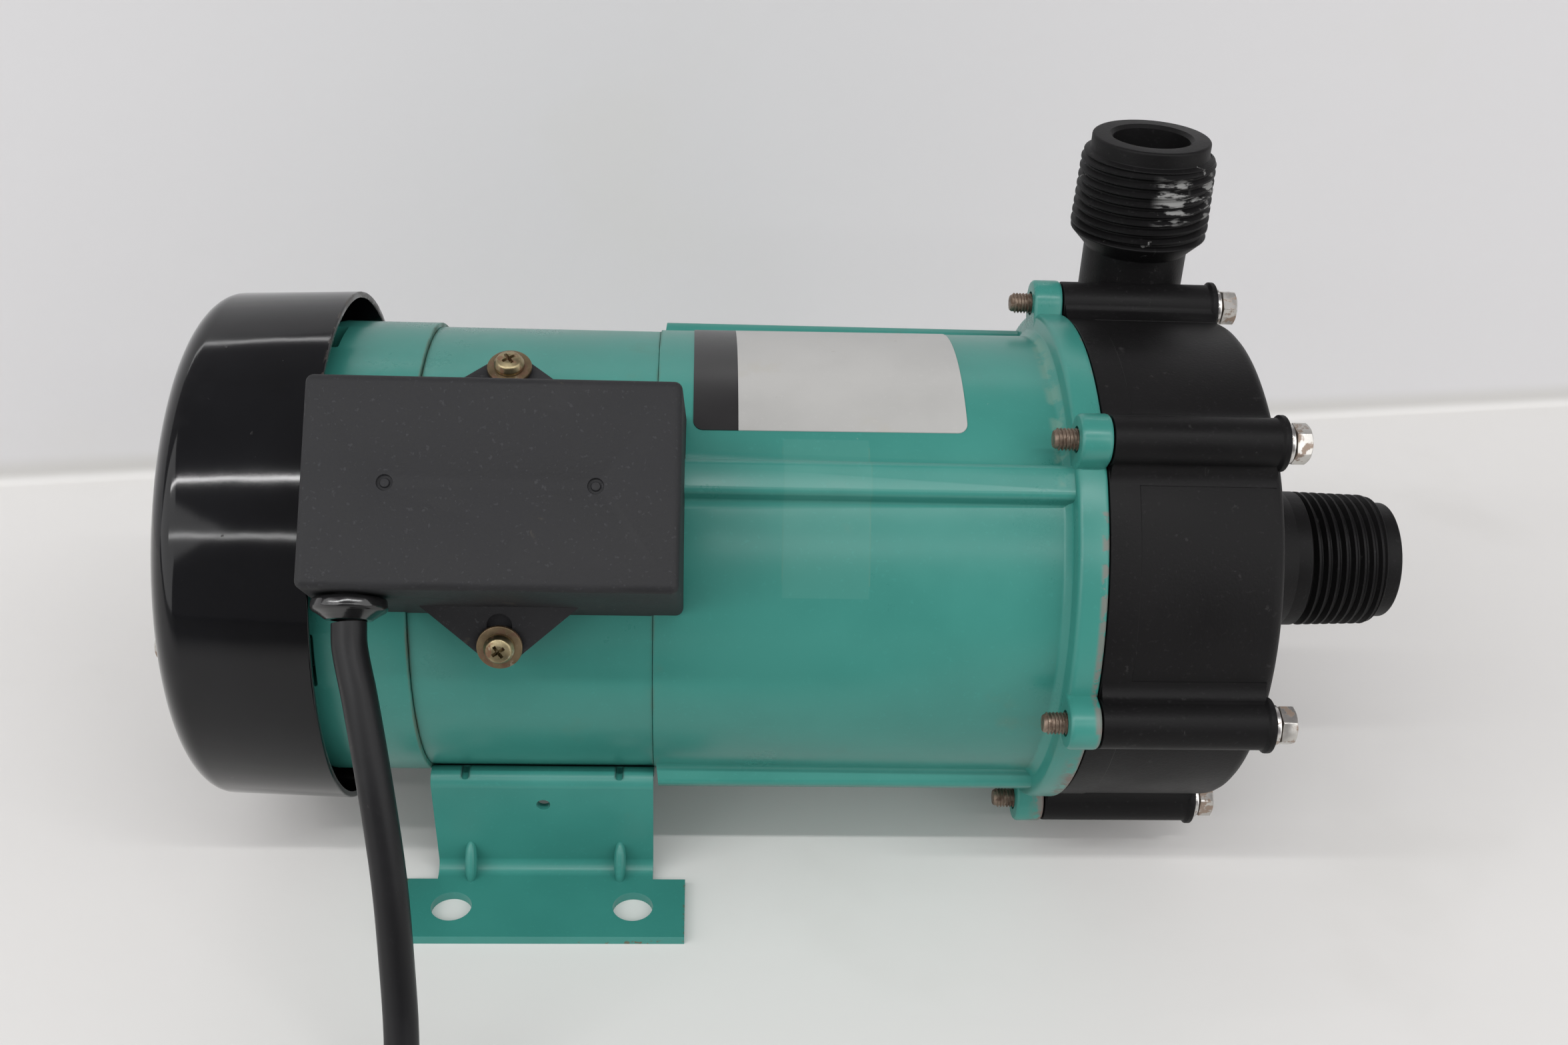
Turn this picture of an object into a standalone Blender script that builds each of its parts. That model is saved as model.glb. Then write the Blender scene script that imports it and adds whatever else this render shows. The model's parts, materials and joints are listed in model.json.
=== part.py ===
"""Magnetic drive pump: a single-phase motor that turns a sealed impeller through a magnetic coupling.

The shaft lies along +X with the suction nozzle at its front end, the discharge nozzle points up (+Z), and
the terminal box faces -Y. Lengths are in metres. The pump stands on z = 0, under the middle of its outline.
"""
import math

import bmesh
import bpy
from mathutils import Matrix, Vector

# Clearance between pieces that touch, how far cutters run past a face and joined forms run into a body, and
# the facets of large, middle and small rounds.
FIT = 0.0003
PAST = 0.0040
SUNK = 0.0010
FINE = 30
MIDDLE = 24
SMALL = 10

# Shaft height over the feet, and the stretch of each length along the shaft from the rear seam.
SHAFT_HEIGHT = 0.0733
SHELL_LENGTH = 0.0534
BRACKET_LENGTH = 0.0990
CASING_DEPTH = 0.0388
SUCTION_REACH = 0.0471

# Motor: stator shell, core, windings, rotor and shaft.
SHELL_RADIUS = 0.0540
SHELL_WALL = 0.0030
CORE_LENGTH = 0.0394
CORE_BORE = 0.0270
CORE_SETBACK = 0.0066
AIR_GAP = 0.0006
WINDING_LENGTH = 0.0150
WINDING_INNER = 0.0290
WINDING_OUTER = 0.0445
SHAFT_RADIUS = 0.0060
SHAFT_REAR = 0.0500
SHAFT_COLLAR = 0.0014
SHAFT_CHAMFER = 0.0006
SHAFT_CAN_SPACE = 0.0020
BEARING_RADIUS = 0.0160
BEARING_WIDTH = 0.0100
END_RING_LENGTH = 0.0050
END_RING_STEP = 0.0022
WINDING_BULGE = 0.0030
BEARING_CHAMFER = 0.0006

# Rear end bell, fan and fan cover.
BELL_RADIUS = 0.0550
BELL_LENGTH = 0.0258
BELL_ROUND = 0.0030
BELL_WALL = 0.0040
BELL_END_WALL = 0.0035
SPIGOT_LENGTH = 0.0032
SPIGOT_WALL = 0.0028
HOUSING_WALL = 0.0042
HOUSING_DEPTH = 0.0130
SHAFT_HOLE = 0.0080
AIR_OPENING_LENGTH = 0.0037
AIR_OPENING_WIDTH = 0.0134
AIR_OPENING_SETBACK = 0.0020
AIR_OPENING_PHASE = 3.0
COVER_RADIUS = 0.0618
COVER_BACK_RADIUS = 0.0608
COVER_LENGTH = 0.0372
COVER_RIM = 0.0192
COVER_SHEET = 0.0015
COVER_CORNER = 0.0130
COVER_CORNER_DEPTH = 0.0080
COVER_SLOTS = 14
COVER_SLOT_WIDTH = 0.0030
COVER_SLOT_INNER = 0.0120
COVER_SLOT_OUTER = 0.0350
POST_CIRCLE = 0.0450
POST_RADIUS = 0.0034
POST_COUNT = 4
POST_SCREW_RADIUS = 0.0020
POST_SCREW_HEAD = 0.0036
POST_SCREW_HEAD_HEIGHT = 0.0022
POST_SCREW_LENGTH = 0.0100
FAN_RADIUS = 0.0390
FAN_DEPTH = 0.0125
FAN_DISC = 0.0016
FAN_HUB_RADIUS = 0.0100
FAN_BLADES = 9
FAN_BLADE = 0.0016
FAN_BELL_SPACE = 0.0080

# Pump bracket between motor and casing, with its front flange and ribs.
BRACKET_REAR_RADIUS = 0.0544
BRACKET_FRONT_RADIUS = 0.0550
BRACKET_WALL = 0.0046
FLANGE_RADIUS = 0.0607
FLANGE_THICKNESS = 0.0071
COUNTERBORE_LIP = 0.0020
PARTITION_SETBACK = 0.0127
PARTITION_WALL = 0.0045
BEARING_SHOULDER = 0.0050
RIB_ANGLE = 47.0
RIB_WIDTH = 0.0088
RIB_HEIGHT = 0.0038
RIB_SETBACK = 0.0070
RIB_ROUND = 0.0022

# Bolts round the joint face.
BOLT_COUNT = 6
BOLT_PHASE = -5.4
BOLT_CIRCLE = 0.0632
BOLT_RADIUS = 0.0025
BOLT_HOLE = 0.0030
BOLT_HEAD_ACROSS = 0.0080
BOLT_HEAD_HEIGHT = 0.0035
BOLT_LENGTH = 0.0545
LOCK_WASHER_RADIUS = 0.0046
LOCK_WASHER_THICKNESS = 0.0013
BOSS_RADIUS = 0.0058
BOSS_PROUD = 0.0019

# Front casing: volute, suction nozzle along the shaft and discharge nozzle beside it.
CASING_RADIUS = 0.0600
CASING_ROUND = 0.0032
CASING_FRONT_WALL = 0.0080
CHAMBER_DEPTH = 0.0224
CHAMBER_SPACE = 0.0016
VOLUTE_START = 0.0475
VOLUTE_END = 0.0525
VOLUTE_TURN = 62.0
VOLUTE_SWEEP = 316.0
VOLUTE_STEPS = 16
NOZZLE_ROOT_RADIUS = 0.0230
THREAD_RADIUS = 0.0169
THREAD_END_RADIUS = 0.0163
THREAD_LENGTH = 0.0200
THREAD_COLLAR = 0.0035
PILOT_RADIUS = 0.0146
PILOT_LENGTH = 0.0038
PILOT_STEP = 0.0008
NECK_RADIUS = 0.0129
NECK_TAPER = 0.0055
SUCTION_BORE = 0.0100
INLET_RADIUS = 0.0140
INLET_LENGTH = 0.0040
INLET_TAPER = 0.0100
DISCHARGE_BORE = 0.0095
DISCHARGE_OFFSET = 0.0400
DISCHARGE_SETBACK = 0.0210
DISCHARGE_HEIGHT = 0.0968
DISCHARGE_ROOT = 0.0300
BORE_START = 0.0160
FACE_RIB_WIDTH = 0.0034
FACE_RIB_REACH = 0.0520
FACE_RIB_RISE = 0.0100

# Seal ring between the rear casing and the front casing.
SEAL_CIRCLE = 0.0557
SEAL_SECTION = 0.0012
SEAL_GROOVE_DEPTH = 0.0028
SEAL_GROOVE_SPACE = 0.0003

# Magnetic coupling: drive yoke and magnet outside the can, rear casing, and driven capsule inside it.
CAN_RADIUS = 0.0290
CAN_WALL = 0.0020
CAN_DEPTH = 0.0500
CAN_END_WALL = 0.0030
CAN_FLANGE = 0.0033
COUPLING_GAP = 0.0010
MAGNET_WALL = 0.0060
YOKE_WALL = 0.0040
YOKE_END = 0.0050
YOKE_END_SPACE = 0.0035
MAGNET_LENGTH = 0.0320
MAGNET_SETBACK = 0.0070
YOKE_HUB_RADIUS = 0.0125
YOKE_HUB_LENGTH = 0.0150
SET_SCREW_RADIUS = 0.0020
SPINDLE_RADIUS = 0.0050
SOCKET_WALL = 0.0034
SOCKET_DEPTH = 0.0080
THRUST_LENGTH = 0.0022
BUSH_WALL = 0.0022
RUNNING_FIT = 0.0006
CAPSULE_LENGTH = 0.0370
THRUST_SPACE = 0.0007

# Impeller with two shrouds and backward-curved vanes, and the rings it runs in.
IMPELLER_RADIUS = 0.0440
IMPELLER_SHROUD = 0.0024
IMPELLER_PASSAGE = 0.0120
IMPELLER_SETBACK = 0.0044
IMPELLER_HUB = 0.0118
IMPELLER_BOSS = 0.0200
EYE_RADIUS = 0.0135
EYE_WALL = 0.0028
EYE_LENGTH = 0.0056
VANES = 6
VANE_THICKNESS = 0.0020
VANE_INNER = 0.0175
VANE_SWEEP = 78.0
MOUTH_WALL = 0.0034
MOUTH_LENGTH = 0.0050
SUPPORT_LENGTH = 0.0070
SUPPORT_RING = 0.0022
SUPPORT_HUB = 0.0076
SUPPORT_ARM = 0.0026
SUPPORT_ARMS = 3

# Base bracket of bent sheet: wide feet, narrower webs and a saddle under the stator shell.
BASE_SHEET = 0.0023
BASE_HALF_WIDTH = 0.0626
WEB_HALF_WIDTH = 0.0420
FOOT_LENGTH = 0.0694
WEB_LENGTH = 0.0532
FOOT_BEND = 0.0044
SADDLE_BEND = 0.0009
FOOT_HOLE_RADIUS = 0.0049
FOOT_HOLE_SPACING = 0.0440
FOOT_HOLE_ROW = 0.0523
WEB_HOLE_RADIUS = 0.0017
WEB_HOLE_HEIGHT = 0.0248
DART_SPACING = 0.0378
DART_SIZE = 0.0050
DART_WIDTH = 0.0036
BASE_SCREW_SPACING = 0.0230
BASE_SCREW_RADIUS = 0.0022
BASE_SCREW_HOLE = 0.0026
BASE_SCREW_HEAD = 0.0042
BASE_SCREW_HEAD_HEIGHT = 0.0028

# Terminal box: its tilt over the horizontal, size, ears, screws, capacitor and cord bushing.
BOX_TILT = 40.0
BOX_MIDDLE = 0.0212
BOX_LENGTH = 0.0760
BOX_HEIGHT = 0.0428
BOX_FACE = 0.0820
BOX_ROOT = 0.0440
BOX_DRAFT = 0.0010
BOX_WALL = 0.0024
BOX_ROUND = 0.0022
EAR_FACE = 0.0560
EAR_STAND_OUT = 0.0134
EAR_HALF_WIDTH = 0.0172
EAR_TIP_RADIUS = 0.0046
EAR_SCREW_OUT = 0.0089
EAR_SCREW_RADIUS = 0.0019
EAR_SCREW_HOLE = 0.0023
EAR_SCREW_HEAD = 0.0033
EAR_SCREW_HEAD_HEIGHT = 0.0022
EAR_WASHER_RADIUS = 0.0049
EAR_WASHER_THICKNESS = 0.0009
EAR_WASHER_HOLE = 0.0024
CAPACITOR_RADIUS = 0.0105
CAPACITOR_LENGTH = 0.0420
BUSHING_OFFSET = -0.0302
BUSHING_OUT = 0.0722
BUSHING_NECK = 0.0042
BUSHING_FLANGE = 0.0076
BUSHING_FLANGE_LENGTH = 0.0036
BUSHING_TAIL = 0.0022
BUSHING_INNER_LENGTH = 0.0030
BUSHING_ROUND = 0.0012

# Power cord: its route past the bushing, the coil of spare length on the floor, and the plug.
CORD_RADIUS = 0.0036
CORD_POINTS = 20
CORD_LIFT = 0.0002
COIL_RADIUS = 0.0430
COIL_HALF_WIDTH = 0.0144
COIL_HEIGHT = 0.0146
COIL_Y = -0.1860
PLUG_LENGTH = 0.0300
PLUG_WIDTH = 0.0240
PLUG_HEIGHT = 0.0150
PLUG_ROUND = 0.0032
PLUG_TAIL = 0.0120
PLUG_TAIL_WALL = 0.0006
PIN_LENGTH = 0.0170
PIN_WIDTH = 0.0063
PIN_THICKNESS = 0.0015
PIN_SPACING = 0.0127

# Stations along the shaft that follow from the lengths above.
REAR_SEAM = 0.0
FRONT_SEAM = REAR_SEAM + SHELL_LENGTH
JOINT_FACE = FRONT_SEAM + BRACKET_LENGTH
CASING_BACK = JOINT_FACE + FIT
CASING_FRONT = JOINT_FACE + CASING_DEPTH
SUCTION_FACE = CASING_FRONT + SUCTION_REACH
BELL_BACK = REAR_SEAM - BELL_LENGTH
COVER_MOUTH = REAR_SEAM - COVER_RIM
COVER_BACK = COVER_MOUTH - COVER_LENGTH
SHELL_INNER = SHELL_RADIUS - SHELL_WALL
SPIGOT_RADIUS = SHELL_INNER - FIT
PARTITION = FRONT_SEAM + PARTITION_SETBACK
CORE_REAR = REAR_SEAM + CORE_SETBACK
CORE_FRONT = CORE_REAR + CORE_LENGTH
BOSS_END = CASING_FRONT + BOSS_PROUD
CHAMBER_FRONT = CASING_BACK + CHAMBER_DEPTH
DISCHARGE_X = JOINT_FACE + DISCHARGE_SETBACK
DISCHARGE_FACE = SHAFT_HEIGHT + DISCHARGE_HEIGHT
CAN_MOUTH = JOINT_FACE
CAN_BACK = CAN_MOUTH - CAN_DEPTH
CAN_INNER = CAN_RADIUS - CAN_WALL
MAGNET_INNER = CAN_RADIUS + COUPLING_GAP
MAGNET_OUTER = MAGNET_INNER + MAGNET_WALL
YOKE_INNER = MAGNET_OUTER + FIT
YOKE_OUTER = YOKE_INNER + YOKE_WALL
YOKE_BACK = CAN_BACK - YOKE_END_SPACE - YOKE_END
MAGNET_FRONT = CAN_MOUTH - CAN_FLANGE - MAGNET_SETBACK
SOCKET_FRONT = CAN_BACK + CAN_END_WALL + SOCKET_DEPTH
BUSH_INNER = SPINDLE_RADIUS + RUNNING_FIT
BUSH_OUTER = BUSH_INNER + BUSH_WALL
CAPSULE_BACK = SOCKET_FRONT + THRUST_LENGTH + THRUST_SPACE
CAPSULE_FRONT = CAPSULE_BACK + CAPSULE_LENGTH
IMPELLER_BACK = JOINT_FACE + IMPELLER_SETBACK
PASSAGE_BACK = IMPELLER_BACK + IMPELLER_SHROUD
PASSAGE_FRONT = PASSAGE_BACK + IMPELLER_PASSAGE
IMPELLER_FRONT = PASSAGE_FRONT + IMPELLER_SHROUD
EYE_OUTER = EYE_RADIUS + EYE_WALL
MOUTH_INNER = EYE_OUTER + RUNNING_FIT + FIT
MOUTH_OUTER = MOUTH_INNER + MOUTH_WALL
SUPPORT_BACK = IMPELLER_FRONT + EYE_LENGTH + 0.0020
SUPPORT_FRONT = SUPPORT_BACK + SUPPORT_LENGTH
SUPPORT_OUTER = INLET_RADIUS + SUPPORT_RING
EAR_REACH = 0.5 * BOX_HEIGHT + EAR_STAND_OUT
EAR_SCREW = 0.5 * BOX_HEIGHT + EAR_SCREW_OUT
BUSHING_END = 0.5 * BOX_HEIGHT + BOX_DRAFT + BUSHING_FLANGE_LENGTH + BUSHING_TAIL

GREEN_PAINT = ("green_paint", (0.095, 0.330, 0.262), 0.38, 0.0)
BLACK_ENAMEL = ("black_enamel", (0.012, 0.012, 0.014), 0.22, 0.0)
BLACK_PLASTIC = ("black_plastic", (0.034, 0.033, 0.035), 0.48, 0.0)
BOX_PLASTIC = ("box_plastic", (0.050, 0.050, 0.054), 0.62, 0.0)
BLACK_RUBBER = ("black_rubber", (0.015, 0.015, 0.016), 0.40, 0.0)
STEEL = ("steel", (0.560, 0.550, 0.530), 0.34, 1.0)
YELLOW_ZINC = ("yellow_zinc", (0.520, 0.430, 0.240), 0.36, 1.0)
LAMINATION = ("lamination", (0.300, 0.300, 0.310), 0.50, 1.0)
COPPER = ("copper", (0.620, 0.270, 0.120), 0.42, 1.0)
ALUMINIUM = ("aluminium", (0.620, 0.620, 0.630), 0.42, 1.0)
FERRITE = ("ferrite", (0.080, 0.080, 0.085), 0.55, 0.0)
WHITE_CERAMIC = ("white_ceramic", (0.820, 0.810, 0.780), 0.20, 0.0)
CARBON = ("carbon", (0.040, 0.040, 0.042), 0.45, 0.0)
BRASS = ("brass", (0.720, 0.520, 0.210), 0.28, 1.0)

for old in list(bpy.data.objects):
    bpy.data.objects.remove(old, do_unlink=True)

PUMP = bpy.data.collections.new("magnetic_drive_pump")
CUTTERS = bpy.data.collections.new("pump_cutters")
for group in (PUMP, CUTTERS):
    bpy.context.scene.collection.children.link(group)

AXIS = Vector((0.0, 0.0, SHAFT_HEIGHT))
ALONG_X = Matrix.Rotation(math.radians(90.0), 4, "Y")


def empty(name, location=(0.0, 0.0, 0.0), parent=None):
    """An empty that carries other objects."""
    obj = bpy.data.objects.new(name, None)
    obj.location = location
    obj.parent = parent
    PUMP.objects.link(obj)
    return obj


ORIGIN = empty("pump_origin")
ROTOR_AXIS = empty("rotor_axis", AXIS, ORIGIN)
IMPELLER_AXIS = empty("impeller_axis", AXIS, ORIGIN)


def finish(obj, look):
    """Gives an object its own Principled material."""
    name, colour, roughness, metallic = look
    mat = bpy.data.materials.new(f"{obj.name}_{name}")
    mat.use_nodes = True
    shader = mat.node_tree.nodes["Principled BSDF"]
    shader.inputs["Base Color"].default_value = (*colour, 1.0)
    shader.inputs["Roughness"].default_value = roughness
    shader.inputs["Metallic"].default_value = metallic
    mat.diffuse_color = (*colour, 1.0)
    obj.data.materials.clear()
    obj.data.materials.append(mat)


def place(obj, look=None, carrier=None):
    """Links a piece to the pump, or a cutter to the cutters when it has no look."""
    if look is None:
        CUTTERS.objects.link(obj)
        obj.hide_render = True
        obj.display_type = "WIRE"
    else:
        PUMP.objects.link(obj)
        finish(obj, look)
    obj.parent = carrier or ORIGIN
    if carrier is not None:
        obj.location = obj.location - carrier.location
    return obj


def smooth(obj, angle=35.0):
    """Shades a mesh smooth and keeps its corners sharp."""
    obj.data.shade_smooth()
    obj.data.set_sharp_from_angle(angle=math.radians(angle))
    return obj


def round_point(station, radius, degrees):
    """A point round the shaft: 0 degrees faces -Y and 90 degrees faces up."""
    turn = math.radians(degrees)
    return Vector((station, -radius * math.cos(turn), SHAFT_HEIGHT + radius * math.sin(turn)))


def turned(name, profile, look=None, facets=FINE, location=AXIS, turn=ALONG_X, carrier=None):
    """A solid turned from (station, radius) points, by default round the shaft.

    A profile that starts and ends on the axis makes a solid piece, and any other one makes a ring.
    """
    loop = profile[0][1] > 0.0 or profile[-1][1] > 0.0
    area = 0.0
    for (s0, r0), (s1, r1) in zip(profile, profile[1:] + profile[:1]):
        area += s0 * r1 - s1 * r0
    points = profile if area > 0.0 else profile[::-1]
    mesh = bpy.data.meshes.new(name)
    form = bmesh.new()
    verts = [form.verts.new((radius, 0.0, station)) for station, radius in points]
    pairs = list(zip(verts, verts[1:]))
    if loop:
        pairs.append((verts[-1], verts[0]))
    for first, second in pairs:
        if first.co.x > 0.0 or second.co.x > 0.0:
            form.edges.new((first, second))
    form.to_mesh(mesh)
    form.free()
    obj = bpy.data.objects.new(name, mesh)
    obj.matrix_world = Matrix.Translation(location) @ turn
    screw = obj.modifiers.new("Turn", "SCREW")
    screw.axis = "Z"
    screw.angle = 2.0 * math.pi
    screw.steps = facets
    screw.render_steps = facets
    screw.use_merge_vertices = True
    screw.merge_threshold = 0.00005
    screw.use_smooth_shade = facets > SMALL
    return place(obj, look, carrier)


def solid_from(name, form, look=None, location=(0.0, 0.0, 0.0), turn=None, carrier=None):
    """Makes an object of a bmesh form and frees the form."""
    mesh = bpy.data.meshes.new(name)
    form.to_mesh(mesh)
    form.free()
    obj = bpy.data.objects.new(name, mesh)
    obj.matrix_world = Matrix.Translation(location) @ (turn or Matrix.Identity(4))
    return place(obj, look, carrier)


def blocks(name, boxes, look=None, location=(0.0, 0.0, 0.0), turn=None, carrier=None):
    """Boxes of one object, each given as (centre, size, spin about the local Z axis in degrees)."""
    form = bmesh.new()
    for centre, size, spin in boxes:
        matrix = Matrix.Rotation(math.radians(spin), 4, "Z") @ Matrix.Translation(centre)
        bmesh.ops.create_cube(form, size=1.0, matrix=matrix @ Matrix.Diagonal((*size, 1.0)))
    return solid_from(name, form, look, location, turn, carrier)


def rods(name, rows, look=None, facets=SMALL, location=(0.0, 0.0, 0.0), turn=None, carrier=None):
    """Cylinders of one object along its local Z axis, each given as (x, y, z0, z1, radius)."""
    form = bmesh.new()
    for x, y, low, high, radius in rows:
        matrix = Matrix.Translation((x, y, 0.5 * (low + high)))
        bmesh.ops.create_cone(form, cap_ends=True, segments=facets, radius1=radius, radius2=radius,
                              depth=high - low, matrix=matrix)
    return solid_from(name, form, look, location, turn, carrier)


def plate(name, outlines, thickness, look=None, location=(0.0, 0.0, 0.0), turn=None, carrier=None):
    """Flat outlines in the local XY plane, filled and extruded by half the thickness each way."""
    curve = bpy.data.curves.new(f"{name}_outline", "CURVE")
    curve.dimensions = "2D"
    curve.fill_mode = "BOTH"
    curve.extrude = 0.5 * thickness
    for outline in outlines:
        spline = curve.splines.new("POLY")
        spline.points.add(len(outline) - 1)
        for point, (x, y) in zip(spline.points, outline):
            point.co = (x, y, 0.0, 1.0)
        spline.use_cyclic_u = True
    guide = bpy.data.objects.new(f"{name}_guide", curve)
    bpy.context.scene.collection.objects.link(guide)
    depsgraph = bpy.context.evaluated_depsgraph_get()
    mesh = bpy.data.meshes.new_from_object(guide.evaluated_get(depsgraph))
    bpy.data.objects.remove(guide, do_unlink=True)
    form = bmesh.new()
    form.from_mesh(mesh)
    bmesh.ops.remove_doubles(form, verts=form.verts[:], dist=0.00002)
    bmesh.ops.recalc_face_normals(form, faces=form.faces[:])
    return solid_from(name, form, look, location, turn, carrier)


def boolean(obj, other, operation):
    """Cuts an object with another one, or joins the other one to it."""
    step = obj.modifiers.new(f"{operation.title()} {other.name}", "BOOLEAN")
    step.operation = operation
    step.solver = "EXACT"
    step.object = other
    return obj


def cut(obj, *others):
    for other in others:
        boolean(obj, other, "DIFFERENCE")
    return obj


def join(obj, *others):
    for other in others:
        boolean(obj, other, "UNION")
    return obj


def soften(obj, width, segments=2, angle=40.0):
    """Rounds the edges of a piece."""
    step = obj.modifiers.new("Round", "BEVEL")
    step.width = width
    step.segments = segments
    step.limit_method = "ANGLE"
    step.angle_limit = math.radians(angle)
    return obj


def round_rods(name, station0, station1, circle, radius, count, phase, look=None, facets=SMALL):
    """Cylinders along the shaft, evenly spaced on a circle round it."""
    form = bmesh.new()
    for index in range(count):
        centre = round_point(0.5 * (station0 + station1), circle, phase + 360.0 * index / count)
        bmesh.ops.create_cone(form, cap_ends=True, segments=facets, radius1=radius, radius2=radius,
                              depth=station1 - station0, matrix=Matrix.Translation(centre) @ ALONG_X)
    return solid_from(name, form, look)


def arc(centre, radius, start, end, steps):
    """Points on an arc, with its angles in degrees."""
    points = []
    for index in range(steps + 1):
        turn = math.radians(start + (end - start) * index / steps)
        points.append((centre[0] + radius * math.cos(turn), centre[1] + radius * math.sin(turn)))
    return points


def strip(path, thickness):
    """The outline of a bent sheet whose middle line is the path."""
    left, right = [], []
    for index, (x, y) in enumerate(path):
        before = Vector(path[max(index - 1, 0)])
        after = Vector(path[min(index + 1, len(path) - 1)])
        along = (after - before).normalized()
        left.append((x - 0.5 * thickness * along.y, y + 0.5 * thickness * along.x))
        right.append((x + 0.5 * thickness * along.y, y - 0.5 * thickness * along.x))
    return left + right[::-1]


# Base bracket.
SADDLE_RADIUS = SHELL_RADIUS + FIT + 0.5 * BASE_SHEET


def base_bracket():
    """Feet, webs and saddle bent from one sheet, with darts pressed into the bends."""
    half = 0.5 * BASE_SHEET
    web = WEB_HALF_WIDTH - half
    foot_bend = FOOT_BEND + half
    top_bend = SADDLE_BEND + half
    bend_y = web - top_bend
    bend_z = SHAFT_HEIGHT - math.sqrt((SADDLE_RADIUS + top_bend) ** 2 - bend_y ** 2)
    lean = math.degrees(math.atan2(SHAFT_HEIGHT - bend_z, -bend_y))
    side = [(BASE_HALF_WIDTH, half)]
    side += arc((web + foot_bend, half + foot_bend), foot_bend, 270.0, 180.0, 4)
    side += arc((bend_y, bend_z), top_bend, 0.0, lean, 5)
    low = 180.0 + lean
    saddle = arc((0.0, SHAFT_HEIGHT), SADDLE_RADIUS, low, 540.0 - low, 13)[1:-1]
    path = side + saddle + [(-y, z) for y, z in side[::-1]]
    middle = REAR_SEAM + 0.5 * SHELL_LENGTH
    upright = Matrix(((0, 0, 1, middle), (1, 0, 0, 0), (0, 1, 0, 0), (0, 0, 0, 1)))
    body = plate("base_bracket", [strip(path, BASE_SHEET)], FOOT_LENGTH, GREEN_PAINT, turn=upright)
    step = 0.5 * (FOOT_LENGTH - WEB_LENGTH)
    beyond = step + 0.01
    tall = SHAFT_HEIGHT
    offset = 0.5 * (WEB_LENGTH + beyond)
    inner, upper = [], []
    for way in (-1.0, 1.0):
        x = middle + way * offset
        inner.append(((x, 0.0, 0.0), (beyond, 2.0 * WEB_HALF_WIDTH, 2.0 * tall), 0.0))
        upper.append(((x, 0.0, BASE_SHEET + 0.5 * tall), (beyond, 3.0 * BASE_HALF_WIDTH, tall), 0.0))
    cut(body, blocks("web_side_cut", inner), blocks("foot_top_cut", upper))
    for name, way in (("near", -1.0), ("far", 1.0)):
        wedge = [(0.0, 0.0), (-DART_SIZE - FOOT_BEND, 0.0), (0.0, DART_SIZE + FOOT_BEND)]
        turn = Matrix(((0, 0, 1, 0), (-way, 0, 0, 0), (0, 1, 0, 0), (0, 0, 0, 1)))
        for tag, shift in (("a", -0.5), ("b", 0.5)):
            root = (middle + shift * DART_SPACING, way * (WEB_HALF_WIDTH - half), half)
            join(body, plate(f"dart_{name}_{tag}", [wedge], DART_WIDTH, location=root, turn=turn))
    notch_z = bend_z + top_bend + half
    notches = []
    for way in (-1.0, 1.0):
        for shift in (-0.5, 0.5):
            x = middle + shift * DART_SPACING
            notches.append(((x, way * WEB_HALF_WIDTH, notch_z - 0.0010), (0.0022, 0.0024, 0.0050), 0.0))
    cut(body, blocks("bend_notch_cut", notches))
    holes = []
    for way in (-1.0, 1.0):
        for shift in (-0.5, 0.5):
            holes.append((middle + shift * FOOT_HOLE_SPACING, way * FOOT_HOLE_ROW, -0.002, 0.006,
                          FOOT_HOLE_RADIUS))
    cut(body, rods("foot_hole_cut", holes, facets=16))
    across = Matrix.Rotation(math.radians(90.0), 4, "X")
    web_hole = [(middle, WEB_HOLE_HEIGHT, -BASE_HALF_WIDTH, BASE_HALF_WIDTH, WEB_HOLE_RADIUS)]
    cut(body, rods("web_hole_cut", web_hole, turn=across, facets=8))
    return body


def base_screws(shell, saddle):
    """Screws from below through the saddle into the shell."""
    middle = REAR_SEAM + 0.5 * SHELL_LENGTH
    seat = SHAFT_HEIGHT - SADDLE_RADIUS - 0.5 * BASE_SHEET
    tip = SHAFT_HEIGHT - SHELL_INNER - FIT
    for index, shift in enumerate((-0.5, 0.5), start=1):
        x = middle + shift * BASE_SCREW_SPACING
        hole = rods(f"base_screw_{index}_cut", [(x, 0.0, 0.5 * seat, tip + 0.004, BASE_SCREW_HOLE)])
        cut(shell, hole)
        cut(saddle, hole)
        head = seat - FIT
        profile = [(tip, 0.0), (tip, BASE_SCREW_RADIUS), (head, BASE_SCREW_RADIUS), (head, BASE_SCREW_HEAD),
                   (head - BASE_SCREW_HEAD_HEIGHT, BASE_SCREW_HEAD), (head - BASE_SCREW_HEAD_HEIGHT, 0.0)]
        turned(f"base_screw_{index}", profile, STEEL, SMALL, (x, 0.0, 0.0), Matrix.Identity(4))


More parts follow.
